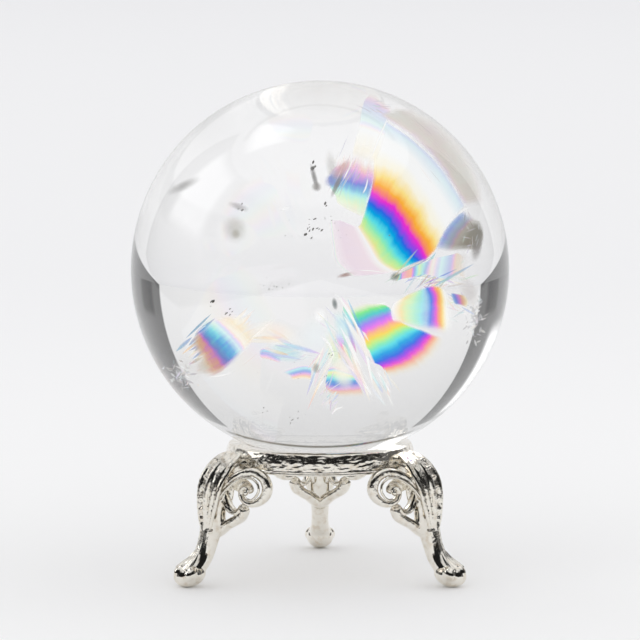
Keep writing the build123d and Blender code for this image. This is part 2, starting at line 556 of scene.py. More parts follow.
@dataclass(frozen=True)
class QuartzFinish:
    """Polished clear quartz, with a painted shade that greys it a little where it is looked along, at
    the ball's outline.
    """

    refraction: float = 1.544
    rim_shade_start: float = 0.82
    rim_painted_shade: float = 0.35
    ripple_scale: float = 900.0
    ripple_roughness: float = 0.004

    def build(self, name: str) -> bpy.types.Material:
        """Makes the material, with the faintest ripple left by polishing."""
        material, nodes, shader = new_material(name)
        place = nodes.place()
        # Painted shade: the colour turns grey towards the ball's outline, where it is looked along.
        facing = nodes.add("ShaderNodeLayerWeight").outputs["Facing"]
        rim = nodes.span(facing, self.rim_shade_start, 1.0)
        pale, rim_shade_grey = (1.0, 1.0, 1.0), (self.rim_painted_shade,) * 3
        nodes.feed(shader.inputs["Base Color"], nodes.mix(rim, pale, rim_shade_grey))
        shader.inputs["Transmission Weight"].default_value = 1.0
        shader.inputs["IOR"].default_value = self.refraction
        nodes.feed(
            shader.inputs["Roughness"],
            nodes.span(
                nodes.noise(place, self.ripple_scale, 2.0), 0.2, 0.9, 0.0, self.ripple_roughness
            ),
        )
        return material


# What each point of a fracture holds: the film's thickness, how pure and how dark its
# colour is, how much of it shows, and how torn it is.
FILM_VALUES = ("film", "purity", "shade", "cover", "ragged")


@dataclass(frozen=True)
class FilmFinish:
    """The colours that a thin film of air shows in a fracture, by its thickness, painted as a glow:
    painted light that the film reflects.
    """

    painted_glow: float = 0.95
    white: Colour = linear(252, 253, 253)
    black: Colour = (0.0, 0.0, 0.0)
    body: float = 0.06
    roughness: float = 0.4
    streak_stretch: Point = (1.0, 0.9, 1.0)
    streak_scale: float = 1.4
    streak_shift: float = 0.14
    streak_tear: float = 1.6
    lump_scale: float = 260.0
    lump_shift: float = 0.26
    tear: Point = (0.02, 0.75)
    cover_power: float = 0.6
    colours: tuple[tuple[float, Colour], ...] = (
        (0.00, linear(252, 254, 255)),
        (0.10, linear(254, 250, 232)),
        (0.17, linear(255, 228, 140)),
        (0.22, linear(255, 178, 60)),
        (0.26, linear(252, 130, 120)),
        (0.29, linear(240, 50, 210)),
        (0.33, linear(160, 70, 235)),
        (0.37, linear(45, 105, 232)),
        (0.42, linear(0, 168, 230)),
        (0.47, linear(90, 225, 235)),
        (0.53, linear(140, 240, 185)),
        (0.58, linear(200, 242, 135)),
        (0.63, linear(252, 220, 90)),
        (0.68, linear(255, 175, 150)),
        (0.72, linear(235, 120, 240)),
        (0.76, linear(165, 130, 245)),
        (0.80, linear(75, 205, 205)),
        (0.84, linear(125, 235, 140)),
        (0.88, linear(225, 240, 180)),
        (0.92, linear(240, 205, 220)),
        (1.00, linear(228, 205, 235)),
    )

    def build(self, name: str) -> bpy.types.Material:
        """Makes the material, which reads the veils' float attributes and film map."""
        material, nodes, shader = new_material(name)
        value = {
            key: nodes.add("ShaderNodeAttribute", attribute_name=key).outputs["Fac"]
            for key in FILM_VALUES
        }
        place = nodes.add("ShaderNodeUVMap", uv_map="film_map").outputs["UV"]
        stretch = nodes.add("ShaderNodeVectorMath", operation="MULTIPLY")
        nodes.feed(stretch.inputs[0], place)
        stretch.inputs[1].default_value = self.streak_stretch
        streak = nodes.noise(stretch.outputs[0], self.streak_scale, 4.0, 0.6)
        streak = nodes.math("SUBTRACT", streak, 0.5)
        streak = nodes.math("MULTIPLY", streak, value["ragged"])
        lump = nodes.math("SUBTRACT", nodes.noise(nodes.place(), self.lump_scale, 3.0), 0.5)
        lump = nodes.math("MULTIPLY", lump, value["ragged"])
        thickness = nodes.math("MULTIPLY_ADD", streak, self.streak_shift, value["film"])
        thickness = nodes.math("MULTIPLY_ADD", lump, self.lump_shift, thickness)
        colour = nodes.mix(value["purity"], self.white, nodes.ramp(thickness, self.colours))
        colour = nodes.mix(value["shade"], self.black, colour)
        # Painted light: the film's colour is given out as a glow, and its white streaks glow as painted
        # glints.
        nodes.feed(shader.inputs["Emission Color"], colour)
        shader.inputs["Emission Strength"].default_value = self.painted_glow
        nodes.feed(shader.inputs["Base Color"], nodes.mix(self.body, self.black, colour))
        shader.inputs["Roughness"].default_value = self.roughness
        shader.inputs["Specular IOR Level"].default_value = 0.0
        torn = nodes.math("MULTIPLY_ADD", streak, self.streak_tear, value["cover"])
        alpha = nodes.math("MULTIPLY", nodes.span(torn, *self.tear), value["cover"])
        nodes.feed(shader.inputs["Alpha"], nodes.math("POWER", alpha, self.cover_power))
        return material


@dataclass(frozen=True)
class SpeckFinish:
    """Dark mineral specks and tiny bubbles."""

    colour: Colour = linear(96, 92, 84)
    pale: Colour = linear(200, 200, 196)
    change_scale: float = 700.0
    roughness: float = 0.35

    def build(self, name: str) -> bpy.types.Material:
        """Makes the material, darker in some specks than in others."""
        material, nodes, shader = new_material(name)
        place = nodes.place()
        spread = nodes.span(nodes.noise(place, self.change_scale, 2.0), 0.35, 0.65)
        nodes.feed(shader.inputs["Base Color"], nodes.mix(spread, self.colour, self.pale))
        shader.inputs["Roughness"].default_value = self.roughness
        return material


# ---------------------------------------------------------------------------
# The ball
# ---------------------------------------------------------------------------


@dataclass
class CrystalBall:
    """The polished quartz sphere."""

    node: str = "crystal_ball"
    fineness: int = 7
    centre: Vector = field(init=False)
    radius: float = field(init=False)

    def __post_init__(self) -> None:
        """Takes the ball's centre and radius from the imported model."""
        low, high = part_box(self.node)
        self.centre = (low + high) / 2
        self.radius = (high.z - low.z) / 2

    def build(self, quartz: bpy.types.Material) -> bpy.types.Object:
        """Makes the sphere.

        Args:
            quartz: The ball's finish.

        Returns:
            The ball.
        """
        work = bmesh.new()
        bmesh.ops.create_icosphere(
            work, subdivisions=self.fineness, radius=self.radius,
            matrix=Matrix.Translation(self.centre),
        )
        mesh = take_mesh(work, "quartz_ball")
        ball = dress(add_object("quartz_ball", mesh), quartz, Body.BALL, Slot.QUARTZ)
        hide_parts(self.node)
        return ball


@dataclass(frozen=True)
class Sight:
    """Where the ball is looked at from, so that a flaw can be set where it shows."""

    ball: Vector
    radius: float
    eye: Vector
    refraction: float = 1.544

    def frame(self) -> tuple[Vector, Vector, Vector]:
        """The right, up and forward directions of someone looking at the ball."""
        forward = (self.ball - self.eye).normalized()
        right = forward.cross(Vector((0.0, 0.0, 1.0))).normalized()
        return right, right.cross(forward), forward

    def inside(self, across: float, rise: float, depth: Sequence[float]) -> Vector:
        """Finds the point inside the ball that shows at a place on its face.

        Args:
            across: The place on the face, in ball radii right of its middle.
            rise: The place on the face, in ball radii above its middle.
            depth: How far behind the middle the flaw lies, in ball radii, and how
                much that grows to the right and upwards.

        Returns:
            The point on the light's path through the quartz at that depth.
        """
        right, up, forward = self.frame()
        target = self.ball + (right * across + up * rise) * self.radius * 0.999
        ray = (target - self.eye).normalized()
        nearest = (self.ball - self.eye).dot(ray)
        miss = (self.ball - self.eye - ray * nearest).length
        half = math.sqrt(max(self.radius**2 - miss**2, 1e-12))
        entry = self.eye + ray * (nearest - half)
        normal = (entry - self.ball).normalized()
        cosine = -ray.dot(normal)
        ratio = 1 / self.refraction
        bend = math.sqrt(1 - ratio**2 * (1 - cosine**2))
        path = (ray * ratio + normal * (ratio * cosine - bend)).normalized()
        chord = -2 * path.dot(entry - self.ball)
        wanted = (depth[0] + depth[1] * across + depth[2] * rise) * self.radius
        travel = (wanted - (entry - self.ball).dot(forward)) / path.dot(forward)
        return entry + path * min(max(travel, 0.04 * chord), 0.96 * chord)


@dataclass(frozen=True)
class FilmRow:
    """A line of one colour along a fracture: the air film's thickness and its purity."""

    film: float
    purity: float
    shade: float
    line: tuple[Point, ...]


@dataclass(frozen=True)
class Veil:
    """A fracture that shows the colours of a thin film, laid out from row to row.

    Its four edges fade over a share of its width: left, right, first row, last row.
    """

    name: str
    depth: Point
    fade: Point
    cover: float
    streaks: float
    ragged: float
    rows: tuple[FilmRow, ...]

    def sample(self, u: float, v: float) -> tuple[float, ...]:
        """The place on the ball's face, film, purity and shade at a point of the veil."""
        index = min(v * (len(self.rows) - 1), len(self.rows) - 1.000001)
        low = int(index)
        mix = index - low
        values = []
        for row in self.rows[low : low + 2]:
            path = smooth_path(row.line, 8)
            along = min(u * (len(path) - 1), len(path) - 1.000001)
            start = int(along)
            share = along - start
            here = [a + (b - a) * share for a, b in zip(path[start], path[start + 1])]
            values.append((*here, row.film, row.purity, row.shade))
        return tuple(a + (b - a) * mix for a, b in zip(values[0], values[1]))

    def edge_cover(self, u: float, v: float) -> float:
        """How much of the veil shows at a point, falling off towards its edges."""
        cover = self.cover
        for distance, fade in zip((u, 1 - u, v, 1 - v), self.fade):
            if fade > 0:
                share = min(1.0, distance / fade)
                cover *= share * share * (3 - 2 * share)
        return cover

    def build(self, sight: Sight, film: bpy.types.Material) -> bpy.types.Object:
        """Lays the veil into the ball.

        Args:
            sight: Where the ball is looked at from.
            film: The finish of all the veils.

        Returns:
            The veil.
        """
        along, across = 44, 5 * (len(self.rows) - 1)
        work = bmesh.new()
        bmesh.ops.create_grid(work, x_segments=along, y_segments=across, size=0.5)
        layers = [work.verts.layers.float.new(name) for name in FILM_VALUES]
        uv = work.loops.layers.uv.new("film_map")
        for face in work.faces:
            for loop in face.loops:
                place = loop.vert.co
                loop[uv].uv = ((place.x + 0.5) * self.streaks, place.y + 0.5)
        for vertex in work.verts:
            u, v = vertex.co.x + 0.5, vertex.co.y + 0.5
            x, z, thickness, purity, shade = self.sample(u, v)
            values = (thickness, purity, shade, self.edge_cover(u, v), self.ragged)
            for layer, value in zip(layers, values):
                vertex[layer] = value
            vertex.co = sight.inside(x, z, self.depth)
        mesh = take_mesh(work, self.name)
        return dress(add_object(self.name, mesh), film, Body.BALL, Slot.QUARTZ)


@dataclass(frozen=True)
class GlintNeedle:
    """A long bright splinter where a fracture turns edge on to the light: a painted glint, a white
    strip that glows.
    """

    half_width: float
    line: tuple[Point, ...]

    def veil(self, name: str) -> Veil:
        """The splinter as a narrow white veil, wide in the middle and pointed, whose glow is a painted
        glint.
        """
        sides: list[list[Point]] = [[], [], []]
        for i, (x, z) in enumerate(self.line):
            before, after = self.line[max(i - 1, 0)], self.line[min(i + 1, len(self.line) - 1)]
            dx, dz = after[0] - before[0], after[1] - before[1]
            length = math.hypot(dx, dz)
            bulge = math.sin(math.pi * (i + 0.35) / (len(self.line) - 0.3))
            width = self.half_width * max(0.15, bulge)
            for side, points in zip((-1, 0, 1), sides):
                points.append((x - dz / length * width * side, z + dx / length * width * side))
        rows = tuple(
            FilmRow(film, purity, 1.0, tuple(points))
            for film, purity, points in zip((0.40, 0.02, 0.20), (0.25, 0.0, 0.2), sides)
        )
        return Veil(name, (0.0, 0.0, 0.0), (0.3, 0.3, 0.5, 0.5), 0.9, 5, 0.6, rows)


VEILS = (
    Veil(
        "upper_rainbow", (0.05, 0.1, 0.35), (0.02, 0.03, 0.02, 0.14), 1.0, 9, 0.42,
        (
            FilmRow(0.36, 0.3, 0.97, ((0.286, 0.831), (0.486, 0.695), (0.644, 0.544), (0.773, 0.337))),
            FilmRow(0.44, 0.22, 1, ((0.284, 0.795), (0.479, 0.67), (0.622, 0.516), (0.751, 0.315))),
            FilmRow(0.44, 0, 1, ((0.283, 0.73), (0.465, 0.616), (0.594, 0.458), (0.715, 0.272))),
            FilmRow(0.05, 0, 1, ((0.281, 0.666), (0.45, 0.566), (0.572, 0.415), (0.68, 0.222))),
            FilmRow(0.08, 1, 1, ((0.281, 0.602), (0.443, 0.523), (0.558, 0.372), (0.658, 0.179))),
            FilmRow(0.14, 1, 1, ((0.281, 0.544), (0.429, 0.48), (0.536, 0.322), (0.626, 0.122))),
            FilmRow(0.18, 1, 1, ((0.28, 0.508), (0.407, 0.444), (0.515, 0.294), (0.608, 0.093))),
            FilmRow(0.22, 1, 1, ((0.277, 0.476), (0.386, 0.408), (0.49, 0.258), (0.587, 0.072))),
            FilmRow(0.26, 1, 1, ((0.273, 0.448), (0.372, 0.376), (0.476, 0.229), (0.572, 0.057))),
            FilmRow(0.29, 1, 1, ((0.268, 0.423), (0.365, 0.337), (0.465, 0.204), (0.561, 0.046))),
            FilmRow(0.33, 1, 1, ((0.259, 0.39), (0.35, 0.304), (0.447, 0.179), (0.54, 0.039))),
            FilmRow(0.37, 1, 1, ((0.25, 0.362), (0.339, 0.276), (0.429, 0.154), (0.522, 0.034))),
            FilmRow(0.42, 1, 1, ((0.241, 0.333), (0.329, 0.247), (0.411, 0.129), (0.497, 0.029))),
            FilmRow(0.47, 1, 1, ((0.234, 0.308), (0.314, 0.218), (0.39, 0.107), (0.468, 0.02))),
            FilmRow(0.55, 0.95, 1, ((0.225, 0.279), (0.296, 0.186), (0.365, 0.082), (0.443, 0.009))),
            FilmRow(0.6, 0.8, 1, ((0.214, 0.243), (0.275, 0.154), (0.336, 0.054), (0.415, -0.004))),
            FilmRow(0.63, 0.45, 1, ((0.203, 0.233), (0.263, 0.143), (0.322, 0.046), (0.402, -0.007))),
            FilmRow(0.66, 0.1, 1, ((0.197, 0.231), (0.253, 0.137), (0.31, 0.043), (0.389, -0.012))),
            FilmRow(0.92, 0.1, 1, ((0.195, 0.23), (0.251, 0.136), (0.307, 0.041), (0.386, -0.013))),
            FilmRow(0.93, 0.5, 0.99, ((0.168, 0.24), (0.213, 0.136), (0.263, 0.043), (0.339, -0.022))),
            FilmRow(0.94, 0.55, 0.98, ((0.107, 0.265), (0.125, 0.15), (0.153, 0.05), (0.236, -0.032))),
            FilmRow(0.93, 0.35, 1, ((0.064, 0.265), (0.078, 0.15), (0.1, 0.043), (0.185, -0.036))),
            FilmRow(0.5, 0, 1, ((0.042, 0.243), (0.057, 0.136), (0.078, 0.036), (0.164, -0.039))),
            FilmRow(0.48, 0.15, 1, ((0.006, 0.215), (0.021, 0.122), (0.046, 0.029), (0.128, -0.043))),
        ),
    ),
    Veil(
        "upper_left_rainbow", (0.0, 0.0, 0.3), (0.12, 0.12, 0.25, 0.3), 0.95, 10, 0.8,
        (
            FilmRow(0.14, 0.4, 0.97, ((0.085, 0.602), (0.185, 0.645), (0.314, 0.573))),
            FilmRow(0.24, 0.55, 0.9, ((0.071, 0.544), (0.171, 0.573), (0.311, 0.523))),
            FilmRow(0.29, 0.5, 0.92, ((0.049, 0.526), (0.164, 0.537), (0.304, 0.48))),
            FilmRow(0.33, 0.6, 0.85, ((0.041, 0.508), (0.15, 0.508), (0.3, 0.458))),
            FilmRow(0.37, 0.8, 0.85, ((0.036, 0.491), (0.135, 0.473), (0.293, 0.43))),
            FilmRow(0.42, 0.75, 0.92, ((0.039, 0.469), (0.128, 0.44), (0.282, 0.394))),
            FilmRow(0.5, 0.55, 1, ((0.049, 0.437), (0.125, 0.408), (0.268, 0.358))),
            FilmRow(0.57, 0.4, 1, ((0.078, 0.394), (0.135, 0.365), (0.257, 0.315))),
            FilmRow(0.6, 0.2, 1, ((0.085, 0.358), (0.142, 0.322), (0.246, 0.272))),
            FilmRow(0.93, 0, 1, ((0.092, 0.351), (0.15, 0.315), (0.246, 0.265))),
            FilmRow(0.93, 0.3, 1, ((0.092, 0.243), (0.15, 0.2), (0.236, 0.165))),
        ),
    ),
    Veil(
        "top_haze", (0.1, 0.0, 0.3), (0.2, 0.1, 0.1, 0.3), 0.8, 7, 0.5,
        (
            FilmRow(0.22, 0.1, 0.85, ((0.25, 0.924), (0.293, 0.938), (0.4, 0.852))),
            FilmRow(0.33, 0.3, 0.88, ((0.225, 0.892), (0.271, 0.884), (0.372, 0.809))),
            FilmRow(0.4, 0.25, 0.95, ((0.213, 0.845), (0.257, 0.838), (0.365, 0.781))),
            FilmRow(0.5, 0.2, 1, ((0.206, 0.795), (0.25, 0.788), (0.357, 0.738))),
            FilmRow(0.12, 0, 1, ((0.196, 0.745), (0.243, 0.738), (0.35, 0.695))),
            FilmRow(0.12, 0.35, 1, ((0.178, 0.68), (0.228, 0.673), (0.329, 0.63))),
            FilmRow(0.17, 0.4, 1, ((0.164, 0.623), (0.207, 0.609), (0.307, 0.573))),
            FilmRow(0.22, 0.3, 1, ((0.157, 0.573), (0.2, 0.559), (0.286, 0.53))),
        ),
    ),
    Veil(
        "rim_haze", (-0.1, 0.0, 0.1), (0.08, 0.1, 0.15, 0.5), 0.95, 9, 1.0,
        (
            FilmRow(0.36, 0.14, 0.86, ((0.279, 0.834), (0.493, 0.688), (0.647, 0.516), (0.766, 0.322))),
            FilmRow(0.2, 0.16, 0.7, ((0.329, 0.849), (0.551, 0.702), (0.694, 0.523), (0.805, 0.329))),
            FilmRow(0.2, 0.14, 0.68, ((0.386, 0.859), (0.608, 0.723), (0.751, 0.544), (0.844, 0.337))),
            FilmRow(0.2, 0.1, 0.78, ((0.443, 0.867), (0.651, 0.745), (0.787, 0.566), (0.873, 0.344))),
            FilmRow(0.2, 0.08, 0.84, ((0.486, 0.867), (0.687, 0.759), (0.816, 0.58), (0.895, 0.344))),
        ),
    ),
    Veil(
        "rim_brown", (-0.1, 0.0, 0.1), (0.3, 0.2, 0.35, 0.35), 0.7, 9, 1.0,
        (
            FilmRow(0.21, 0.3, 0.8, ((0.343, 0.867), (0.529, 0.723), (0.665, 0.544))),
            FilmRow(0.24, 0.35, 0.62, ((0.365, 0.874), (0.558, 0.741), (0.687, 0.559))),
            FilmRow(0.2, 0.2, 0.75, ((0.4, 0.874), (0.587, 0.752), (0.715, 0.573))),
        ),
    ),
    Veil(
        "smoke_patch", (-0.15, 0.25, 0.2), (0.25, 0.3, 0.12, 0.1), 1.0, 7, 0.9,
        (
            FilmRow(0.38, 0.45, 0.95, ((0.766, 0.337), (0.665, 0.229), (0.587, 0.093))),
            FilmRow(0.37, 0.6, 0.78, ((0.787, 0.322), (0.687, 0.211), (0.622, 0.089))),
            FilmRow(0.4, 0.3, 0.5, ((0.812, 0.304), (0.708, 0.19), (0.658, 0.082))),
            FilmRow(0.18, 0.2, 0.42, ((0.837, 0.286), (0.744, 0.175), (0.701, 0.082))),
            FilmRow(0.16, 0.3, 0.3, ((0.857, 0.272), (0.787, 0.179), (0.744, 0.086))),
            FilmRow(0.17, 0.3, 0.27, ((0.866, 0.236), (0.83, 0.158), (0.794, 0.093))),
            FilmRow(0.2, 0.1, 0.4, ((0.87, 0.2), (0.866, 0.136), (0.844, 0.089))),
        ),
    ),
    Veil(
        "lower_rainbow", (-0.05, -0.2, -0.3), (0.0, 0.07, 0.3, 0.1), 1.0, 8, 0.3,
        (
            FilmRow(0.03, 0, 1, ((0.343, -0.618), (0.486, -0.596), (0.601, -0.532), (0.715, -0.374))),
            FilmRow(0.12, 0.8, 1, ((0.343, -0.582), (0.479, -0.55), (0.572, -0.5), (0.687, -0.36))),
            FilmRow(0.19, 1, 1, ((0.343, -0.557), (0.465, -0.525), (0.551, -0.475), (0.658, -0.346))),
            FilmRow(0.23, 1, 1, ((0.339, -0.539), (0.45, -0.507), (0.533, -0.457), (0.637, -0.342))),
            FilmRow(0.27, 1, 1, ((0.336, -0.525), (0.436, -0.492), (0.515, -0.442), (0.619, -0.34))),
            FilmRow(0.3, 1, 1, ((0.329, -0.514), (0.425, -0.478), (0.501, -0.428), (0.601, -0.335))),
            FilmRow(0.34, 1, 1, ((0.314, -0.503), (0.411, -0.46), (0.486, -0.41), (0.583, -0.328))),
            FilmRow(0.38, 1, 1, ((0.286, -0.492), (0.397, -0.442), (0.468, -0.392), (0.565, -0.321))),
            FilmRow(0.42, 1, 1, ((0.264, -0.476), (0.382, -0.421), (0.45, -0.374), (0.544, -0.313))),
            FilmRow(0.47, 1, 1, ((0.246, -0.457), (0.368, -0.399), (0.433, -0.356), (0.519, -0.308))),
            FilmRow(0.53, 1, 1, ((0.237, -0.435), (0.354, -0.379), (0.415, -0.34), (0.497, -0.301))),
            FilmRow(0.58, 1, 1, ((0.232, -0.414), (0.343, -0.36), (0.397, -0.324), (0.476, -0.294))),
            FilmRow(0.63, 1, 1, ((0.228, -0.389), (0.332, -0.339), (0.382, -0.31), (0.454, -0.285))),
            FilmRow(0.66, 1, 1, ((0.223, -0.367), (0.322, -0.319), (0.372, -0.294), (0.436, -0.273))),
            FilmRow(0.7, 1, 1, ((0.217, -0.349), (0.311, -0.301), (0.361, -0.276), (0.418, -0.258))),
            FilmRow(0.735, 1, 1, ((0.211, -0.33), (0.3, -0.281), (0.349, -0.256), (0.4, -0.238))),
            FilmRow(0.77, 1, 1, ((0.204, -0.308), (0.289, -0.26), (0.336, -0.237), (0.386, -0.217))),
            FilmRow(0.8, 1, 1, ((0.194, -0.285), (0.275, -0.238), (0.322, -0.218), (0.372, -0.199))),
            FilmRow(0.84, 1, 1, ((0.178, -0.253), (0.257, -0.213), (0.3, -0.202), (0.354, -0.188))),
            FilmRow(0.88, 0.7, 1, ((0.16, -0.217), (0.236, -0.187), (0.275, -0.182), (0.332, -0.181))),
            FilmRow(0.95, 0.4, 1, ((0.135, -0.174), (0.214, -0.156), (0.257, -0.17), (0.314, -0.177))),
        ),
    ),
    Veil(
        "side_rainbow", (-0.1, -0.15, -0.2), (0.15, 0.2, 0.25, 0.15), 0.95, 6, 0.5,
        (
            FilmRow(0.94, 0.5, 1, ((0.343, -0.195), (0.343, -0.224), (0.357, -0.267))),
            FilmRow(0.93, 0.5, 1, ((0.386, -0.167), (0.372, -0.217), (0.386, -0.281))),
            FilmRow(0.63, 0, 1, ((0.4, -0.163), (0.379, -0.217), (0.393, -0.285))),
            FilmRow(0.62, 0.6, 1, ((0.472, -0.12), (0.429, -0.202), (0.443, -0.296))),
            FilmRow(0.56, 0.6, 1, ((0.515, -0.102), (0.485, -0.192), (0.483, -0.31))),
            FilmRow(0.5, 0.7, 1, ((0.536, -0.091), (0.528, -0.188), (0.522, -0.324))),
            FilmRow(0.42, 0.6, 1, ((0.551, -0.086), (0.564, -0.17), (0.558, -0.335))),
            FilmRow(0.37, 0.9, 1, ((0.561, -0.082), (0.589, -0.165), (0.579, -0.34))),
            FilmRow(0.31, 0.9, 1, ((0.583, -0.077), (0.607, -0.163), (0.612, -0.344))),
            FilmRow(0.25, 0.9, 1, ((0.604, -0.075), (0.627, -0.163), (0.633, -0.347))),
            FilmRow(0.18, 0.9, 1, ((0.63, -0.082), (0.648, -0.17), (0.652, -0.35))),
            FilmRow(0.08, 0.4, 1, ((0.658, -0.095), (0.675, -0.185), (0.68, -0.353))),
            FilmRow(0.02, 0, 1, ((0.701, -0.109), (0.728, -0.206), (0.723, -0.353))),
        ),
    ),
    Veil(
        "amber_fan", (-0.15, 0.0, 0.0), (0.2, 0.2, 0.15, 0.2), 0.9, 4, 0.3,
        (
            FilmRow(0.42, 0.6, 0.95, ((0.687, -0.116), (0.694, -0.152), (0.712, -0.188))),
            FilmRow(0.37, 0.8, 0.8, ((0.708, -0.12), (0.719, -0.152), (0.733, -0.188))),
            FilmRow(0.28, 0.7, 0.7, ((0.73, -0.124), (0.744, -0.156), (0.751, -0.192))),
            FilmRow(0.2, 0.6, 0.8, ((0.751, -0.127), (0.769, -0.163), (0.766, -0.199))),
            FilmRow(0.12, 0.3, 0.95, ((0.776, -0.134), (0.794, -0.174), (0.78, -0.21))),
        ),
    ),
    Veil(
        "middle_shard", (0.0, -0.1, 0.8), (0.04, 0.04, 0.08, 0.1), 0.85, 5, 0.3,
        (
            FilmRow(0.8, 0.8, 0.7, ((0.386, -0.066), (0.4, -0.052), (0.407, -0.041))),
            FilmRow(0.29, 0.6, 0.95, ((0.436, -0.048), (0.436, -0.031), (0.436, -0.013))),
            FilmRow(0.24, 0.7, 1, ((0.479, -0.041), (0.483, -0.016), (0.483, 0.009))),
            FilmRow(0.58, 0.6, 1, ((0.522, -0.031), (0.526, -0.002), (0.526, 0.03))),
            FilmRow(0.4, 0.5, 0.95, ((0.551, -0.023), (0.561, 0.012), (0.572, 0.048))),
            FilmRow(0.2, 0.1, 0.95, ((0.587, -0.031), (0.594, 0.012), (0.604, 0.063))),
            FilmRow(0.48, 0.3, 1, ((0.63, -0.045), (0.637, 0.005), (0.651, 0.073))),
            FilmRow(0.36, 0.4, 0.95, ((0.68, -0.052), (0.687, -0.002), (0.701, 0.084))),
            FilmRow(0.2, 0.3, 0.85, ((0.723, -0.009), (0.723, 0.034), (0.73, 0.091))),
            FilmRow(0.2, 0.15, 0.85, ((0.794, -0.081), (0.78, -0.002), (0.773, 0.063))),
        ),
    ),
    Veil(
        "cyan_band", (0.1, 0.0, -0.5), (0.08, 0.05, 0.2, 0.3), 0.95, 7, 0.3,
        (
            FilmRow(0.62, 0.1, 1, ((0.049, -0.503), (0.1, -0.496), (0.185, -0.546))),
            FilmRow(0.26, 0.5, 1, ((0.042, -0.525), (0.085, -0.518), (0.178, -0.557))),
            FilmRow(0.62, 0.6, 1, ((0.039, -0.543), (0.085, -0.543), (0.182, -0.564))),
            FilmRow(0.55, 0.7, 1, ((0.035, -0.557), (0.085, -0.557), (0.185, -0.571))),
            FilmRow(0.47, 0.8, 1, ((0.031, -0.571), (0.085, -0.575), (0.191, -0.578))),
            FilmRow(0.41, 0.9, 0.9, ((0.028, -0.586), (0.085, -0.593), (0.198, -0.588))),
            FilmRow(0.37, 0.8, 0.9, ((0.025, -0.6), (0.085, -0.611), (0.207, -0.6))),
            FilmRow(0.31, 0.5, 0.85, ((0.026, -0.614), (0.085, -0.629), (0.218, -0.618))),
            FilmRow(0.24, 0.6, 0.88, ((0.031, -0.629), (0.089, -0.646), (0.228, -0.639))),
            FilmRow(0.19, 0.5, 0.92, ((0.042, -0.646), (0.096, -0.668), (0.239, -0.664))),
            FilmRow(0.15, 0.2, 0.95, ((0.057, -0.668), (0.103, -0.688), (0.243, -0.686))),
        ),
    ),
    Veil(
        "ember_patch", (0.1, 0.0, -0.2), (0.2, 0.1, 0.25, 0.2), 0.95, 4, 0.4,
        (
            FilmRow(0.45, 0.35, 1, ((0.053, -0.324), (0.1, -0.31), (0.15, -0.324))),
            FilmRow(0.38, 0.35, 1, ((0.074, -0.36), (0.114, -0.353), (0.157, -0.381))),
            FilmRow(0.32, 0.5, 1, ((0.085, -0.381), (0.125, -0.389), (0.16, -0.414))),
            FilmRow(0.28, 0.7, 1, ((0.087, -0.403), (0.125, -0.412), (0.163, -0.435))),
            FilmRow(0.23, 0.8, 1, ((0.089, -0.432), (0.127, -0.439), (0.165, -0.46))),
            FilmRow(0.18, 0.7, 1, ((0.091, -0.46), (0.13, -0.464), (0.17, -0.478))),
            FilmRow(0.1, 0.2, 1, ((0.085, -0.489), (0.128, -0.489), (0.173, -0.5))),
        ),
    ),
    Veil(
        "upper_fish", (0.05, 0.0, -0.2), (0.2, 0.3, 0.3, 0.25), 0.9, 3, 0.2,
        (
            FilmRow(0.1, 0.3, 1, ((-0.319, -0.411), (-0.265, -0.404), (-0.17, -0.472))),
            FilmRow(0.45, 0.6, 1, ((-0.326, -0.431), (-0.271, -0.431), (-0.183, -0.479))),
            FilmRow(0.38, 0.6, 0.95, ((-0.327, -0.441), (-0.271, -0.445), (-0.187, -0.487))),
            FilmRow(0.29, 0.4, 0.97, ((-0.326, -0.455), (-0.275, -0.462), (-0.193, -0.496))),
            FilmRow(0.2, 0.4, 1, ((-0.312, -0.475), (-0.271, -0.482), (-0.197, -0.502))),
        ),
    ),
    Veil(
        "lower_fish", (0.05, 0.0, -0.2), (0.2, 0.1, 0.2, 0.25), 0.9, 3, 0.2,
        (
            FilmRow(0.1, 0, 1, ((-0.224, -0.54), (-0.102, -0.499), (-0.041, -0.506))),
            FilmRow(0.48, 0.5, 1, ((-0.204, -0.55), (-0.095, -0.519), (-0.041, -0.523))),
            FilmRow(0.4, 0.7, 0.97, ((-0.183, -0.557), (-0.092, -0.535), (-0.042, -0.54))),
            FilmRow(0.31, 0.5, 0.93, ((-0.17, -0.563), (-0.088, -0.548), (-0.044, -0.553))),
            FilmRow(0.2, 0.5, 1, ((-0.163, -0.577), (-0.088, -0.567), (-0.046, -0.574))),
            FilmRow(0.15, 0.1, 1, ((-0.156, -0.591), (-0.088, -0.587), (-0.048, -0.591))),
        ),
    ),
    Veil(
        "lower_left_rainbow", (0.0, 0.45, 0.0), (0.22, 0.25, 0.25, 0.3), 1.0, 11, 1.0,
        (
            FilmRow(0.18, 0.15, 0.75, ((-0.746, -0.404), (-0.706, -0.492), (-0.651, -0.594))),
            FilmRow(0.2, 0.35, 0.68, ((-0.692, -0.357), (-0.631, -0.485), (-0.597, -0.587))),
            FilmRow(0.22, 0.7, 0.66, ((-0.682, -0.34), (-0.597, -0.465), (-0.55, -0.58))),
            FilmRow(0.25, 0.7, 0.62, ((-0.675, -0.323), (-0.563, -0.445), (-0.509, -0.56))),
            FilmRow(0.36, 0.8, 0.66, ((-0.665, -0.302), (-0.536, -0.424), (-0.472, -0.526))),
            FilmRow(0.4, 0.9, 0.85, ((-0.645, -0.282), (-0.516, -0.404), (-0.444, -0.499))),
            FilmRow(0.42, 0.8, 0.95, ((-0.628, -0.265), (-0.495, -0.387), (-0.424, -0.475))),
            FilmRow(0.47, 0.3, 1, ((-0.597, -0.248), (-0.468, -0.367), (-0.404, -0.452))),
            FilmRow(0.2, 0.2, 1, ((-0.563, -0.238), (-0.434, -0.35), (-0.383, -0.428))),
            FilmRow(0.21, 0.5, 0.97, ((-0.522, -0.228), (-0.4, -0.329), (-0.356, -0.397))),
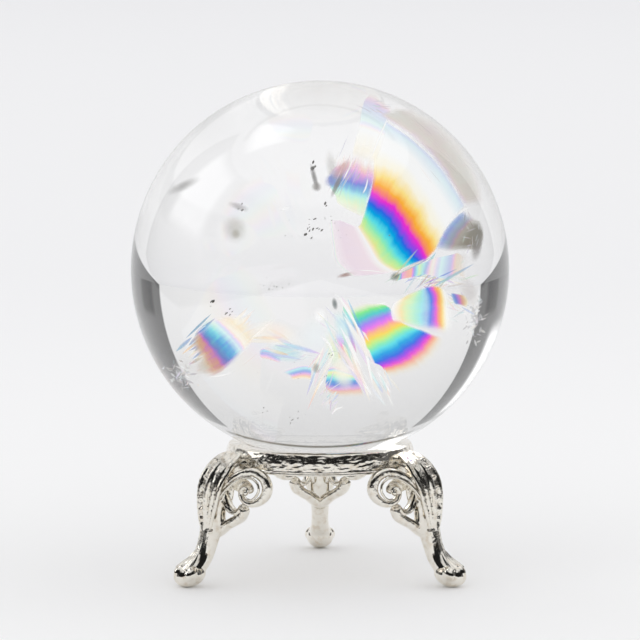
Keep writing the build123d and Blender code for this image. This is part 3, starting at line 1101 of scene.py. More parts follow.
            FilmRow(0.18, 0.3, 1, ((-0.461, -0.217), (-0.339, -0.302), (-0.319, -0.36))),
            FilmRow(0.1, 0, 0.98, ((-0.4, -0.207), (-0.278, -0.275), (-0.265, -0.316))),
        ),
    ),
)

# Painted glints: narrow white veils that glow where the fractures turn edge on to the light.
GLINT_NEEDLES = (
    GlintNeedle(0.016, ((0.028, -0.109), (0.096, -0.142), (0.157, -0.231), (0.218, -0.339), (0.25, -0.467),
        (0.279, -0.611), (0.307, -0.704))),
    GlintNeedle(0.01, ((-0.015, -0.331), (0.049, -0.396), (0.085, -0.489))),
    GlintNeedle(0.014, ((0.114, -0.489), (0.185, -0.539), (0.25, -0.625), (0.293, -0.704))),
    GlintNeedle(0.01, ((0.135, -0.324), (0.178, -0.439), (0.193, -0.518))),
    GlintNeedle(0.014, ((0.293, -0.518), (0.329, -0.582), (0.393, -0.682))),
    GlintNeedle(0.012, ((0.035, -0.561), (-0.008, -0.618), (-0.037, -0.661))),
    GlintNeedle(0.01, ((0.057, -0.775), (0.085, -0.74), (0.139, -0.722))),
    GlintNeedle(0.006, ((0.4, -0.063), (0.515, -0.041), (0.658, -0.066), (0.801, -0.116))),
    GlintNeedle(0.006, ((0.178, -0.002), (0.271, -0.005), (0.372, -0.02))),
    GlintNeedle(0.008, ((0.279, -0.185), (0.322, -0.18), (0.365, -0.17))),
    GlintNeedle(0.01, ((0.372, 0.831), (0.314, 0.702), (0.257, 0.559))),
    GlintNeedle(0.008, ((0.178, 0.602), (0.15, 0.53), (0.114, 0.458))),
    GlintNeedle(0.008, ((0.257, 0.501), (0.243, 0.437), (0.221, 0.394))),
    GlintNeedle(0.01, ((-0.719, -0.411), (-0.651, -0.37), (-0.583, -0.329))),
    GlintNeedle(0.006, ((-0.665, -0.343), (-0.624, -0.309), (-0.597, -0.289))),
    GlintNeedle(0.008, ((-0.522, -0.445), (-0.468, -0.397), (-0.387, -0.329))),
    GlintNeedle(0.016, ((-0.4, -0.404), (-0.326, -0.336), (-0.231, -0.248))),
    GlintNeedle(0.006, ((-0.617, -0.57), (-0.522, -0.56), (-0.434, -0.533))),
    GlintNeedle(0.008, ((0.723, 0.286), (0.758, 0.315), (0.794, 0.329))),
)


@dataclass(frozen=True)
class Smudge:
    """A soft cloudy spot: where it shows, its half sizes, its turn and how it looks."""

    across: float
    rise: float
    wide: float
    high: float
    angle: float
    film: float
    purity: float
    shade: float
    cover: float


# Each spot glows with its film colour as painted light; the white ones, at full shade and no purity,
# are painted glints.
SMUDGES = (
    Smudge(-0.452, 0.215, 0.075, 0.085, 20, 0.19, 0.3, 0.45, 0.5),
    Smudge(-0.445, 0.19, 0.035, 0.04, 0, 0.19, 0.4, 0.35, 0.7),
    Smudge(-0.432, 0.335, 0.06, 0.02, -20, 0.2, 0.1, 0.4, 0.5),
    Smudge(-0.72, 0.445, 0.10, 0.028, 25, 0.2, 0.05, 0.35, 0.55),
    Smudge(-0.03, 0.49, 0.018, 0.09, 15, 0.2, 0.05, 0.2, 0.8),
    Smudge(-0.018, 0.44, 0.03, 0.03, 0, 0.2, 0.1, 0.3, 0.75),
    Smudge(0.065, 0.53, 0.035, 0.12, 10, 0.2, 0.1, 0.55, 0.55),
    Smudge(0.09, 0.45, 0.016, 0.08, -25, 0.2, 0.1, 0.25, 0.8),
    Smudge(0.115, 0.53, 0.03, 0.07, -40, 0.24, 0.5, 0.6, 0.7),
    Smudge(0.07, 0.47, 0.05, 0.04, 0, 0.38, 0.7, 0.7, 0.7),
    Smudge(-0.21, -0.08, 0.15, 0.04, 15, 0.2, 0.0, 0.7, 0.3),
    Smudge(0.078, -0.18, 0.018, 0.04, 10, 0.5, 0.2, 0.2, 0.85),
    Smudge(0.16, -0.02, 0.08, 0.014, 14, 0.22, 0.6, 0.35, 0.85),
    Smudge(0.40, -0.035, 0.04, 0.03, 20, 0.55, 0.35, 0.25, 0.9),
    Smudge(-0.185, 0.325, 0.035, 0.012, 12, 0.2, 0.0, 1.0, 0.9),
    Smudge(0.0, -0.245, 0.045, 0.055, 0, 0.2, 0.0, 1.0, 0.95),
    Smudge(-0.02, -0.36, 0.12, 0.14, 0, 0.45, 0.10, 0.97, 0.6),
    Smudge(0.12, -0.30, 0.05, 0.10, 20, 0.50, 0.45, 1.0, 0.6),
    Smudge(0.07, -0.42, 0.05, 0.12, 10, 0.62, 0.55, 1.0, 0.6),
    Smudge(0.12, -0.55, 0.06, 0.10, 20, 0.15, 0.35, 1.0, 0.7),
    Smudge(-0.25, -0.33, 0.14, 0.07, -8, 0.20, 0.25, 1.0, 0.6),
    Smudge(-0.18, -0.44, 0.10, 0.05, -8, 0.45, 0.45, 0.9, 0.6),
    Smudge(0.83, 0.12, 0.03, 0.08, -10, 0.2, 0.1, 0.3, 0.7),
    Smudge(-0.02, -0.52, 0.03, 0.04, 0, 0.2, 0.3, 0.35, 0.8),
    Smudge(0.56, -0.155, 0.10, 0.045, -5, 0.2, 0.05, 1.0, 0.8),
    Smudge(0.70, 0.03, 0.10, 0.05, 30, 0.2, 0.08, 0.75, 0.6),
    Smudge(0.79, -0.12, 0.05, 0.10, 20, 0.2, 0.08, 0.68, 0.55),
    Smudge(-0.70, -0.52, 0.10, 0.10, 45, 0.2, 0.05, 0.72, 0.5),
    Smudge(-0.60, -0.50, 0.08, 0.05, 38, 0.21, 0.4, 0.5, 0.6),
    Smudge(-0.52, -0.30, 0.10, 0.04, 38, 0.2, 0.2, 1.0, 0.6),
)


@dataclass(frozen=True)
class ShardCluster:
    """Many small splinters that lie roughly one way, glowing with painted light; the white ones are
    painted glints.

    Lengths and widths are in ball radii, and angles in degrees above the horizontal.
    """

    across: float
    rise: float
    spread: Point
    count: int
    length: Point
    width: float
    angle: float
    sway: float
    film: Point
    purity: Point
    shade: Point
    cover: float


SHARDS = (
    ShardCluster(
        0.64, -0.045, (0.15, 0.035), 34, (0.05, 0.15), 0.016, 12, 22,
        (0.1, 0.8), (0.1, 0.7), (0.65, 1.0), 0.7,
    ),
    ShardCluster(
        0.815, -0.25, (0.035, 0.09), 70, (0.015, 0.045), 0.018, 70, 60,
        (0.1, 0.5), (0.0, 0.15), (0.35, 1.0), 0.75,
    ),
    ShardCluster(
        -0.735, -0.56, (0.055, 0.07), 80, (0.012, 0.045), 0.014, -50, 60,
        (0.1, 0.5), (0.0, 0.3), (0.35, 1.0), 0.75,
    ),
    ShardCluster(
        -0.56, -0.39, (0.12, 0.09), 30, (0.06, 0.16), 0.008, 38, 5,
        (0.1, 0.5), (0.0, 0.3), (0.95, 1.0), 0.9,
    ),
    ShardCluster(
        -0.59, -0.37, (0.08, 0.06), 22, (0.07, 0.20), 0.030, 36, 6,
        (0.36, 0.42), (0.7, 1.0), (0.4, 0.9), 0.8,
    ),
    ShardCluster(
        -0.57, -0.43, (0.08, 0.07), 20, (0.07, 0.20), 0.032, 38, 6,
        (0.17, 0.25), (0.5, 0.9), (0.4, 1.0), 0.8,
    ),
    ShardCluster(
        -0.45, -0.30, (0.08, 0.05), 12, (0.12, 0.26), 0.028, 42, 7,
        (0.1, 0.2), (0.1, 0.5), (0.95, 1.0), 0.85,
    ),
    ShardCluster(
        0.20, -0.42, (0.06, 0.16), 12, (0.16, 0.36), 0.045, -64, 5,
        (0.1, 0.5), (0.0, 0.35), (0.95, 1.0), 0.95,
    ),
    ShardCluster(
        0.15, -0.34, (0.05, 0.12), 10, (0.12, 0.26), 0.035, -64, 8,
        (0.36, 0.62), (0.5, 1.0), (0.8, 1.0), 0.75,
    ),
    ShardCluster(
        -0.02, -0.52, (0.06, 0.10), 10, (0.10, 0.26), 0.030, 62, 10,
        (0.1, 0.5), (0.0, 0.5), (0.9, 1.0), 0.9,
    ),
    ShardCluster(
        -0.20, -0.39, (0.10, 0.05), 12, (0.10, 0.24), 0.032, -12, 10,
        (0.1, 0.5), (0.1, 0.6), (0.85, 1.0), 0.8,
    ),
    ShardCluster(
        0.60, -0.01, (0.13, 0.04), 14, (0.12, 0.30), 0.030, 26, 12,
        (0.1, 0.6), (0.2, 0.9), (0.7, 1.0), 0.8,
    ),
    ShardCluster(
        0.33, -0.60, (0.05, 0.07), 14, (0.08, 0.20), 0.022, -60, 10,
        (0.1, 0.5), (0.0, 0.4), (0.9, 1.0), 0.9,
    ),
    ShardCluster(
        0.14, 0.52, (0.07, 0.08), 34, (0.04, 0.14), 0.007, 66, 7,
        (0.1, 0.5), (0.0, 0.6), (0.6, 1.0), 0.75,
    ),
    ShardCluster(
        0.06, -0.27, (0.05, 0.07), 8, (0.08, 0.18), 0.020, -60, 14,
        (0.3, 0.6), (0.0, 0.4), (0.9, 1.0), 0.75,
    ),
    ShardCluster(
        0.05, -0.67, (0.045, 0.07), 22, (0.03, 0.10), 0.011, 58, 14,
        (0.2, 0.5), (0.0, 0.5), (0.8, 1.0), 0.9,
    ),
    ShardCluster(
        0.30, 0.86, (0.05, 0.03), 14, (0.04, 0.10), 0.010, -18, 15,
        (0.1, 0.5), (0.1, 0.5), (0.65, 1.0), 0.6,
    ),
    ShardCluster(
        0.64, 0.60, (0.13, 0.13), 30, (0.06, 0.22), 0.014, -47, 6,
        (0.18, 0.24), (0.0, 0.2), (0.62, 0.95), 0.4,
    ),
    ShardCluster(
        0.72, -0.17, (0.05, 0.05), 20, (0.03, 0.10), 0.015, -20, 30,
        (0.1, 0.6), (0.0, 0.5), (0.75, 1.0), 0.8,
    ),
    ShardCluster(
        0.80, 0.16, (0.05, 0.09), 24, (0.02, 0.08), 0.010, 60, 35,
        (0.1, 0.6), (0.0, 0.3), (0.3, 1.0), 0.6,
    ),
    ShardCluster(
        0.44, -0.20, (0.16, 0.05), 20, (0.05, 0.14), 0.006, 8, 14,
        (0.1, 0.6), (0.0, 0.4), (0.9, 1.0), 0.65,
    ),
    ShardCluster(
        -0.13, -0.45, (0.12, 0.04), 16, (0.04, 0.12), 0.006, 8, 18,
        (0.2, 0.5), (0.0, 0.4), (0.75, 1.0), 0.7,
    ),
)


@dataclass(frozen=True)
class SpeckCluster:
    """A handful of dark specks: where they show, how far they spread, how many, how big."""

    across: float
    rise: float
    spread: Point
    count: int
    size: float


SPECKS = (
    SpeckCluster(-0.045, 0.215, (0.045, 0.04), 12, 0.0075),
    SpeckCluster(0.02, 0.345, (0.01, 0.01), 2, 0.008),
    SpeckCluster(-0.57, -0.17, (0.012, 0.012), 4, 0.008),
    SpeckCluster(-0.49, -0.235, (0.02, 0.03), 6, 0.007),
    SpeckCluster(-0.03, 0.50, (0.015, 0.05), 5, 0.011),
    SpeckCluster(-0.43, 0.33, (0.03, 0.02), 3, 0.006),
    SpeckCluster(-0.12, -0.79, (0.05, 0.03), 7, 0.006),
    SpeckCluster(-0.31, -0.74, (0.02, 0.02), 3, 0.007),
    SpeckCluster(0.04, 0.26, (0.03, 0.04), 5, 0.004),
    SpeckCluster(-0.25, -0.08, (0.09, 0.03), 14, 0.0035),
    SpeckCluster(0.05, -0.52, (0.03, 0.1), 4, 0.005),
    SpeckCluster(-0.2, -0.5, (0.2, 0.1), 8, 0.003),
    SpeckCluster(0.1, 0.15, (0.2, 0.12), 8, 0.0035),
)


@dataclass
class Flaws:
    """Everything inside the ball: rainbow veils and bright splinters that glow with painted light,
    specks and chips.
    """

    sight: Sight
    seed: int = 5

    def build(
        self, film: bpy.types.Material, dark: bpy.types.Material
    ) -> Iterable[bpy.types.Object]:
        """Lays all the flaws into the ball.

        Args:
            film: The veils' finish.
            dark: The specks' finish.

        Yields:
            Each piece as it is made.
        """
        for veil in VEILS:
            yield veil.build(self.sight, film)
        for index, glint_needle in enumerate(GLINT_NEEDLES):
            yield glint_needle.veil(f"splinter_{index + 1:02d}").build(self.sight, film)
        yield self.shards(film)
        yield self.specks(dark)

    def shards(self, film: bpy.types.Material) -> bpy.types.Object:
        """Scatters the small splinters and sets the cloudy spots."""
        draw = random.Random(self.seed + 6)
        work = bmesh.new()
        for name in FILM_VALUES:
            work.verts.layers.float.new(name)
        work.loops.layers.uv.new("film_map")
        for spot in SMUDGES:
            self.flake(work, draw, spot, 0.0, 1.0)
        for cluster in SHARDS:
            for _ in range(cluster.count):
                splinter = Smudge(
                    cluster.across + draw.gauss(0, 0.6) * cluster.spread[0],
                    cluster.rise + draw.gauss(0, 0.6) * cluster.spread[1],
                    draw.uniform(*cluster.length) / 2,
                    cluster.width * draw.uniform(0.3, 1.0) / 2,
                    cluster.angle + draw.gauss(0, cluster.sway),
                    draw.uniform(*cluster.film),
                    draw.uniform(*cluster.purity),
                    draw.uniform(*cluster.shade),
                    cluster.cover,
                )
                self.flake(work, draw, splinter, 0.12, 0.3)
        mesh = take_mesh(work, "splinters")
        return dress(add_object("splinters", mesh), film, Body.BALL, Slot.QUARTZ)

    def flake(
        self, work: bmesh.types.BMesh, draw: random.Random, spot: Smudge, change: float,
        ragged: float,
    ) -> None:
        """Adds one small patch of film.

        Args:
            work: The mesh it is added to.
            draw: The source of chance.
            spot: Where it shows and how it looks.
            change: How much the film changes from one end to the other, at most.
            ragged: How torn it looks; a torn one fades out all round, another is pointed.
        """
        angle, limit = math.radians(spot.angle), 0.985
        depth = (draw.uniform(-0.12, 0.12), 0.0, 0.0)
        slope, start = draw.uniform(-change, change), draw.uniform(0.0, 20.0)
        size = 9 if ragged > 0.5 else 3
        patch = bmesh.ops.create_grid(work, x_segments=7, y_segments=size, size=1.0)["verts"]
        for vertex in patch:
            along, side = vertex.co.x, vertex.co.y
            run, off = along * spot.wide, side * spot.high
            cover = spot.cover * (1.0 - 0.75 * abs(side))
            if ragged > 0.5:
                cover = spot.cover * max(0.0, 1.0 - along**2 - side**2)
            else:
                off *= 1.0 - along * along
            x = spot.across + run * math.cos(angle) - off * math.sin(angle)
            z = spot.rise + run * math.sin(angle) + off * math.cos(angle)
            inwards = min(1.0, limit / max(math.hypot(x, z), 1e-6))
            vertex.co = self.sight.inside(x * inwards, z * inwards, depth)
            values = (spot.film + slope * along, spot.purity, spot.shade, cover, ragged)
            for name, value in zip(FILM_VALUES, values):
                vertex[work.verts.layers.float[name]] = value
        uv = work.loops.layers.uv["film_map"]
        for face in {face for vertex in patch for face in vertex.link_faces}:
            for loop in face.loops:
                loop[uv].uv = (start, start)

    def specks(self, dark: bpy.types.Material) -> bpy.types.Object:
        """Scatters the specks in their clusters, as small flattened bubbles."""
        draw = random.Random(self.seed)
        work = bmesh.new()
        for cluster in SPECKS:
            for _ in range(cluster.count):
                x = cluster.across + draw.gauss(0, 0.6) * cluster.spread[0]
                z = cluster.rise + draw.gauss(0, 0.6) * cluster.spread[1]
                centre = self.sight.inside(x, z, (draw.uniform(-0.15, 0.15), 0.0, 0.0))
                size = cluster.size * self.sight.radius * draw.uniform(0.4, 1.0)
                turn = Matrix.Rotation(draw.uniform(-1.2, -0.3), 4, "Y")
                stretch = Matrix.Diagonal((1.0, 0.5, draw.uniform(0.25, 0.6), 1.0))
                bmesh.ops.create_icosphere(
                    work, subdivisions=1, radius=size,
                    matrix=Matrix.Translation(centre) @ turn @ stretch,
                )
        mesh = take_mesh(work, "dark_specks")
        return dress(add_object("dark_specks", mesh), dark, Body.BALL, Slot.QUARTZ)


# ---------------------------------------------------------------------------
# The stand
# ---------------------------------------------------------------------------


@dataclass
class SeatRing:
    """The cast ring: a rough band that leans in to a rounded top, with a bead at its foot."""

    node: str = "seat_ring"
    wall_step_back: float = 0.2
    lean_start: float = 0.56
    lean_in: float = 0.3
    lean_curve: float = 1.6
    top_round: float = 0.36
    bead_radius: float = 0.27
    seat_radius: float = 12.0
    hole_radius: float = 11.3
    facets: int = 720
    flake_length: float = 1.1
    flake_height: float = 0.5
    flake_depth: float = 0.165

    def __post_init__(self) -> None:
        """Takes the ring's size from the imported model, in millimetres."""
        low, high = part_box(self.node)
        self.outer = high.x / MM
        self.low = low.z / MM
        self.high = high.z / MM

    def profile(self) -> list[tuple[float, float]]:
        """The ring's section, from the hole's foot round the outside to the seat."""
        wall = self.outer - self.wall_step_back
        points = [(self.hole_radius, self.low), (wall - 0.2, self.low)]
        bead_centre = (self.outer - self.bead_radius, self.low + self.bead_radius)
        for angle in range(-90, 60, 15):
            points.append(
                (
                    bead_centre[0] + self.bead_radius * math.cos(math.radians(angle)),
                    bead_centre[1] + self.bead_radius * math.sin(math.radians(angle)),
                )
            )
        rows = 22
        face_low = self.low + 2.2 * self.bead_radius
        face_top = self.high - self.top_round
        for row in range(rows + 1):
            share = row / rows
            lean = max(0.0, share - self.lean_start) / (1 - self.lean_start)
            height = face_low + (face_top - face_low) * share
            points.append((wall - self.lean_in * lean**self.lean_curve, height))
        edge = wall - self.lean_in - self.top_round
        for angle in range(30, 91, 12):
            points.append(
                (
                    edge + self.top_round * math.cos(math.radians(angle)),
                    face_top + self.top_round * math.sin(math.radians(angle)),
                )
            )
        points.append((self.seat_radius + 0.15, self.high))
        points.append((self.seat_radius, self.high - 0.02))
        points.append((self.hole_radius, self.high - 0.33))
        return points

    def build(self, plating: bpy.types.Material) -> bpy.types.Object:
        """Turns the section round the axis and roughens its outside.

        Args:
            plating: The ring's finish.

        Returns:
            The ring.
        """
        work = bmesh.new()
        verts = [work.verts.new((r, 0.0, z)) for r, z in self.profile()]
        edges = [work.edges.new(pair) for pair in zip(verts, verts[1:] + verts[:1])]
        bmesh.ops.spin(
            work, geom=verts + edges, cent=(0, 0, 0), axis=(0, 0, 1),
            angle=math.tau, steps=self.facets, use_merge=True,
        )
        bmesh.ops.remove_doubles(work, verts=work.verts, dist=1e-4)
        bmesh.ops.recalc_face_normals(work, faces=work.faces)
        work.normal_update()
        grain = work.verts.layers.float.new("grain")
        bead_top = self.low + 2.0 * self.bead_radius
        for vertex in work.verts:
            place = vertex.co
            radius = math.hypot(place.x, place.y)
            band = min(1.0, max(0.0, (radius - self.outer + 1.0) / 0.4))
            vertex[grain] = 0.55 * band
            flake = Vector(
                (
                    place.x / self.flake_length,
                    place.y / self.flake_length,
                    place.z / self.flake_height,
                )
            )
            dent = noise.noise(flake) + 0.45 * noise.noise(flake * 2.3 + Vector((7.0, 3.0, 1.0)))
            dent += 0.6 * noise.noise(place * 0.22)
            strength = band if place.z > bead_top else 0.3 * band
            vertex.co = place - vertex.normal * (self.flake_depth * (0.5 + 0.5 * dent) * strength)
        mesh = take_mesh(work, "hammered_ring")
        mesh.transform(Matrix.Scale(MM, 4))
        ring = dress(add_object("hammered_ring", mesh), plating, Body.STAND, Slot.PLATING)
        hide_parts(self.node)
        return ring


@dataclass
class ScrollLeg:
    """One ornamental leg, drawn along +X in millimetres: leaf, web, scrolls, shank, paw."""

    angles: dict[str, float] = field(
        default_factory=lambda: {
            "leg_rear": 90.0, "leg_front_left": 210.0, "leg_front_right": 330.0,
        }
    )
    sweep: float = 33.0
    scroll_front: float = 17.0
    scroll_depth: float = 2.4
    voxel: float = 0.104
    smoothing: int = 2
    # Down the middle: (distance from the axis, height, half thickness, half width).
    web_line: tuple[Point, ...] = (
        (15.0, 19.0, 1.3, 2.0), (17.0, 18.4, 1.3, 2.05), (18.4, 16.6, 1.3, 2.0),
        (18.9, 14.2, 1.4, 1.9), (19.1, 11.8, 1.5, 1.8), (19.4, 9.6, 1.6, 1.7),
    )
    shank_line: tuple[Point, ...] = (
        (19.35, 10.8, 1.6, 1.75), (19.9, 8.4, 1.6, 1.55), (20.5, 6.4, 1.5, 1.42),
        (21.2, 4.7, 1.5, 1.45), (22.3, 3.3, 1.5, 1.7), (23.4, 2.5, 1.5, 1.9),
    )
    # The leaf's sunk ground, and its strands: (distance from the axis, side, height, radius).
    ground_line: tuple[Point, ...] = (
        (15.0, 19.9, 0.9, 2.0), (17.2, 19.4, 0.95, 2.5), (18.9, 18.0, 1.0, 2.7),
        (19.9, 16.0, 1.0, 2.7), (20.2, 13.6, 1.0, 2.4), (20.2, 11.4, 1.0, 2.0),
        (20.1, 9.6, 0.9, 1.5),
    )
    strands: tuple[tuple[Point, ...], ...] = (
        (
            (15.9, 0.75, 20.65, 0.34), (17.6, 0.95, 20.1, 0.42), (19.2, 1.1, 18.9, 0.45),
            (20.5, 1.15, 17.1, 0.48), (21.15, 1.1, 15.0, 0.46), (21.3, 1.0, 12.6, 0.4),
            (21.25, 0.8, 10.5, 0.34), (21.2, 0.45, 8.9, 0.22),
        ),
        (
            (18.4, 1.95, 18.8, 0.16), (19.8, 2.05, 17.3, 0.26), (20.5, 2.0, 15.3, 0.3),
            (20.8, 1.8, 13.1, 0.3), (20.9, 1.5, 11.2, 0.27), (21.0, 1.05, 9.5, 0.2),
        ),
        (
            (15.7, 1.9, 20.4, 0.34), (17.1, 2.45, 19.5, 0.38), (18.3, 2.75, 18.0, 0.4),
            (19.4, 2.85, 16.5, 0.4), (20.05, 2.8, 14.9, 0.38), (20.4, 2.55, 12.9, 0.36),
            (20.6, 2.1, 11.2, 0.32), (20.8, 1.6, 9.4, 0.22),
        ),
    )
    # The frill down the leaf's middle: (distance from the axis, height) of its crest.
    frill_line: tuple[Point, ...] = (
        (17.0, 20.3), (18.9, 19.5), (20.3, 18.2), (21.1, 16.5), (21.45, 14.6),
        (21.5, 12.6), (21.35, 10.8), (21.2, 9.6),
    )
    frill_lobes: int = 9
    seed: int = 3
    # The scrolls, on their own plane: (along, height, half width, half depth).
    volute_line: tuple[Point, ...] = (
        (-9.9, 8.9, 0.4, 0.8, 0.9), (-10.1, 11.0, 0.5, 0.85, 0.9), (-9.6, 13.3, 0.56, 0.85, 0.9),
        (-8.5, 15.4, 0.6, 0.85, 0.75), (-7.0, 17.0, 0.62, 0.85, 0.45),
        (-5.2, 18.0, 0.66, 0.85, 0.15), (-3.3, 18.2, 0.72, 0.85, 0.0),
        (-1.75, 17.35, 0.8, 0.85, 0.0), (-1.15, 15.9, 0.82, 0.85, 0.0),
        (-1.6, 14.5, 0.74, 0.85, 0.0), (-2.9, 13.45, 0.64, 0.85, 0.0),
        (-4.3, 13.25, 0.54, 0.8, 0.0), (-5.3, 13.75, 0.46, 0.75, 0.0),
        (-5.75, 14.7, 0.4, 0.72, 0.0), (-5.5, 15.6, 0.36, 0.7, 0.0),
        (-4.75, 15.85, 0.34, 0.7, 0.0), (-4.35, 15.35, 0.32, 0.7, 0.0),
    )
    rim_line: tuple[Point, ...] = (
        (-9.6, 10.6, 0.14, 0.25, 1.0), (-9.2, 12.9, 0.17, 0.28, 1.0), (-8.1, 14.9, 0.19, 0.3, 0.85),
        (-6.7, 16.4, 0.2, 0.3, 0.5), (-5.1, 17.3, 0.2, 0.3, 0.2), (-3.6, 17.4, 0.2, 0.3, 0.05),
        (-2.5, 16.7, 0.2, 0.3, 0.05), (-2.2, 15.6, 0.2, 0.3, 0.05), (-2.7, 14.6, 0.2, 0.3, 0.05),
        (-3.5, 14.0, 0.2, 0.28, 0.05), (-4.2, 14.05, 0.18, 0.24, 0.05),
    )
    eye: Point = (-4.75, 15.0, 0.5)
    plates: tuple[Point, ...] = ((-6.3, 16.1, 2.7, 1.3, -20.0), (-8.3, 13.9, 0.8, 2.2, -15.0))
    hook_line: tuple[Point, ...] = (
        (-8.75, 15.3, 0.4, 0.85), (-8.3, 13.5, 0.5, 0.85), (-7.65, 12.35, 0.46, 0.85),
        (-6.85, 11.85, 0.38, 0.85), (-6.15, 12.05, 0.36, 0.85), (-5.55, 12.75, 0.38, 0.8),
    )
    hook_rim: tuple[Point, ...] = (
        (-8.5, 13.2, 0.17, 0.3), (-7.9, 12.1, 0.18, 0.3), (-7.0, 11.6, 0.18, 0.3),
        (-6.15, 11.8, 0.18, 0.3), (-5.6, 12.45, 0.17, 0.3),
    )
    arm_line: tuple[Point, ...] = (
        (-10.9, 7.2, 0.4, 0.3), (-9.6, 8.4, 0.8, 1.0), (-8.1, 9.6, 0.8, 1.1),
        (-6.9, 10.3, 0.82, 1.1), (-5.8, 11.05, 0.84, 1.1), (-5.2, 12.05, 0.72, 1.05),
    )
    ring_inside: float = 14.6

    def middle_plane(self) -> WorkPlane:
        """The upright plane down the middle of the leg."""
        return WorkPlane(Vector(), Vector((1.0, 0.0, 0.0)), Vector((0.0, 0.0, 1.0)))

    def scroll_plane(self) -> WorkPlane:
        """The upright plane through the middle of one side's scroll."""
        sweep = math.radians(self.sweep)
        outward = Vector((math.cos(sweep), math.sin(sweep), 0.0))
        along = Vector((-math.sin(sweep), math.cos(sweep), 0.0))
        distance = self.scroll_front - self.scroll_depth / 2
        return WorkPlane(outward * distance, along, Vector((0.0, 0.0, 1.0)))

    def add_core(self, metal: Casting) -> None:
        """Adds the web, the shank and the leaf's sunk ground."""
        middle = self.middle_plane()
        metal.flat_bar(middle, self.web_line, Shape.SLAB)
        metal.flat_bar(middle, self.shank_line, Shape.CUSHION)
        metal.flat_bar(middle, self.ground_line, Shape.ROUND)

    def add_paw(self, metal: Casting) -> None:
        """Adds the rounded pad and the toes over its front."""
        pitch = Matrix.Rotation(math.radians(12), 4, "Y")
        metal.bead(Vector((23.6, 0.0, 1.95)), Vector((2.7, 2.25, 1.95)), pitch)
        droop = Matrix.Rotation(math.radians(30), 4, "Y")
        for side in (-1.6, 0.0, 1.6):
            splay = Matrix.Rotation(math.radians(14 * side), 4, "Z")
            centre = Vector((25.05 - 0.36 * side * side, side, 2.6 - 0.1 * side * side))
            metal.bead(centre, Vector((1.4, 0.84, 1.02)), splay @ droop)
        for side in (-1.2, -0.4, 0.4, 1.2):
            ridge = (
                (22.4, 0.5, 5.4, 0.16), (23.3, 0.8, 4.3, 0.26), (24.3, 1.1, 3.55, 0.27),
                (25.1, 1.25, 3.0, 0.22),
            )
            metal.rod([(r, side * spread, z, radius) for r, spread, z, radius in ridge], steps=4)

    def add_leaf_relief(self, metal: Casting) -> None:
        """Adds one side's strands and the frilled lobes down the middle."""
        for strand in self.strands:
            metal.rod([(r, side, z, radius) for r, side, z, radius in strand], steps=5)
        crest = smooth_path(self.frill_line, 8)
        draw = random.Random(self.seed)
        for index in range(self.frill_lobes):
            share = index / (self.frill_lobes - 1)
            r, z = crest[round(share * (len(crest) - 1))]
            size = (0.95 - 0.4 * share) * draw.uniform(0.8, 1.15)
            lean = Matrix.Rotation(math.radians(30 + 50 * share), 4, "Y")
            twist = Matrix.Rotation(math.radians(draw.uniform(15, 40)), 4, "X")
            centre = Vector((r - 0.4 - draw.uniform(0.0, 0.2), draw.uniform(0.3, 0.5), z - 0.2))
            metal.bead(centre, Vector((0.42, 0.34, size)), twist @ lean)
        for side, z in ((0.6, 9.1), (1.35, 8.7)):
            metal.bead(Vector((21.0 - 0.25 * side, side, z)), Vector((0.42, 0.4, 0.42)))

    def add_scroll(self, metal: Casting) -> None:
        """Adds one side's volute, its rim, its eye, its sunk plate, the hook and the arm."""
        plane = self.scroll_plane()
        half = self.scroll_depth / 2
        metal.flat_bar(plane, self.volute_line, Shape.CUSHION)
        metal.flat_bar(plane, self.rim_line, Shape.ROUND, out=half - 0.3)
        u, v, radius = self.eye
        metal.bead(plane.point(u, v, 0.45), Vector((radius, radius, radius)))
        face = Matrix.Rotation(math.radians(self.sweep), 4, "Z")
        for u, v, wide, high, lean in self.plates:
            slant = face @ Matrix.Rotation(math.radians(lean), 4, "X")
            metal.bead(plane.point(u, v, -0.55), Vector((0.4, wide, high)), slant)
        metal.flat_bar(plane, self.hook_line, Shape.CUSHION)
        metal.flat_bar(plane, self.hook_rim, Shape.ROUND, out=half - 0.35)
        metal.flat_bar(plane, self.arm_line, Shape.CUSHION)

    def skin(self) -> bpy.types.Mesh:
        """Builds the leg along +X and returns its skin in metres."""
        metal = Casting()
        self.add_leaf_relief(metal)
        self.add_scroll(metal)
        metal.mirror()
        self.add_core(metal)
        self.add_paw(metal)
        mesh = metal.fuse("scroll_leg", self.voxel, self.smoothing)
        self.finish_skin(mesh)
        mesh.transform(Matrix.Scale(MM, 4))
        return mesh

    def finish_skin(self, mesh: bpy.types.Mesh) -> None:
        """Marks the rough faces, pits them, and trims what meets the floor and the ring."""
        work = bmesh.new()
        work.from_mesh(mesh)
        work.normal_update()
        grain = work.verts.layers.float.new("grain")
        for vertex in work.verts:
            place = vertex.co
            front = min(1.0, max(0.0, (vertex.normal.x - 0.3) / 0.4))
            leaf = min(1.0, max(0.0, (place.z - 4.6) / 1.0))
            near_ring = min(1.0, max(0.0, (17.5 - math.hypot(place.x, place.y)) / 2.0))
            vertex[grain] = max(front * leaf, near_ring) * 0.75 + 0.05
            rough = noise.noise(place * 1.9) + 0.6 * noise.noise(place * 4.7)
            vertex.co = place + vertex.normal * (0.04 * rough * vertex[grain])
            if vertex.co.z < 0.0:
                vertex.co.z = 0.0
            radius = math.hypot(vertex.co.x, vertex.co.y)
            if radius < self.ring_inside and vertex.co.z > 17.9:
                vertex.co.xy *= self.ring_inside / radius
        work.to_mesh(mesh)
        work.free()

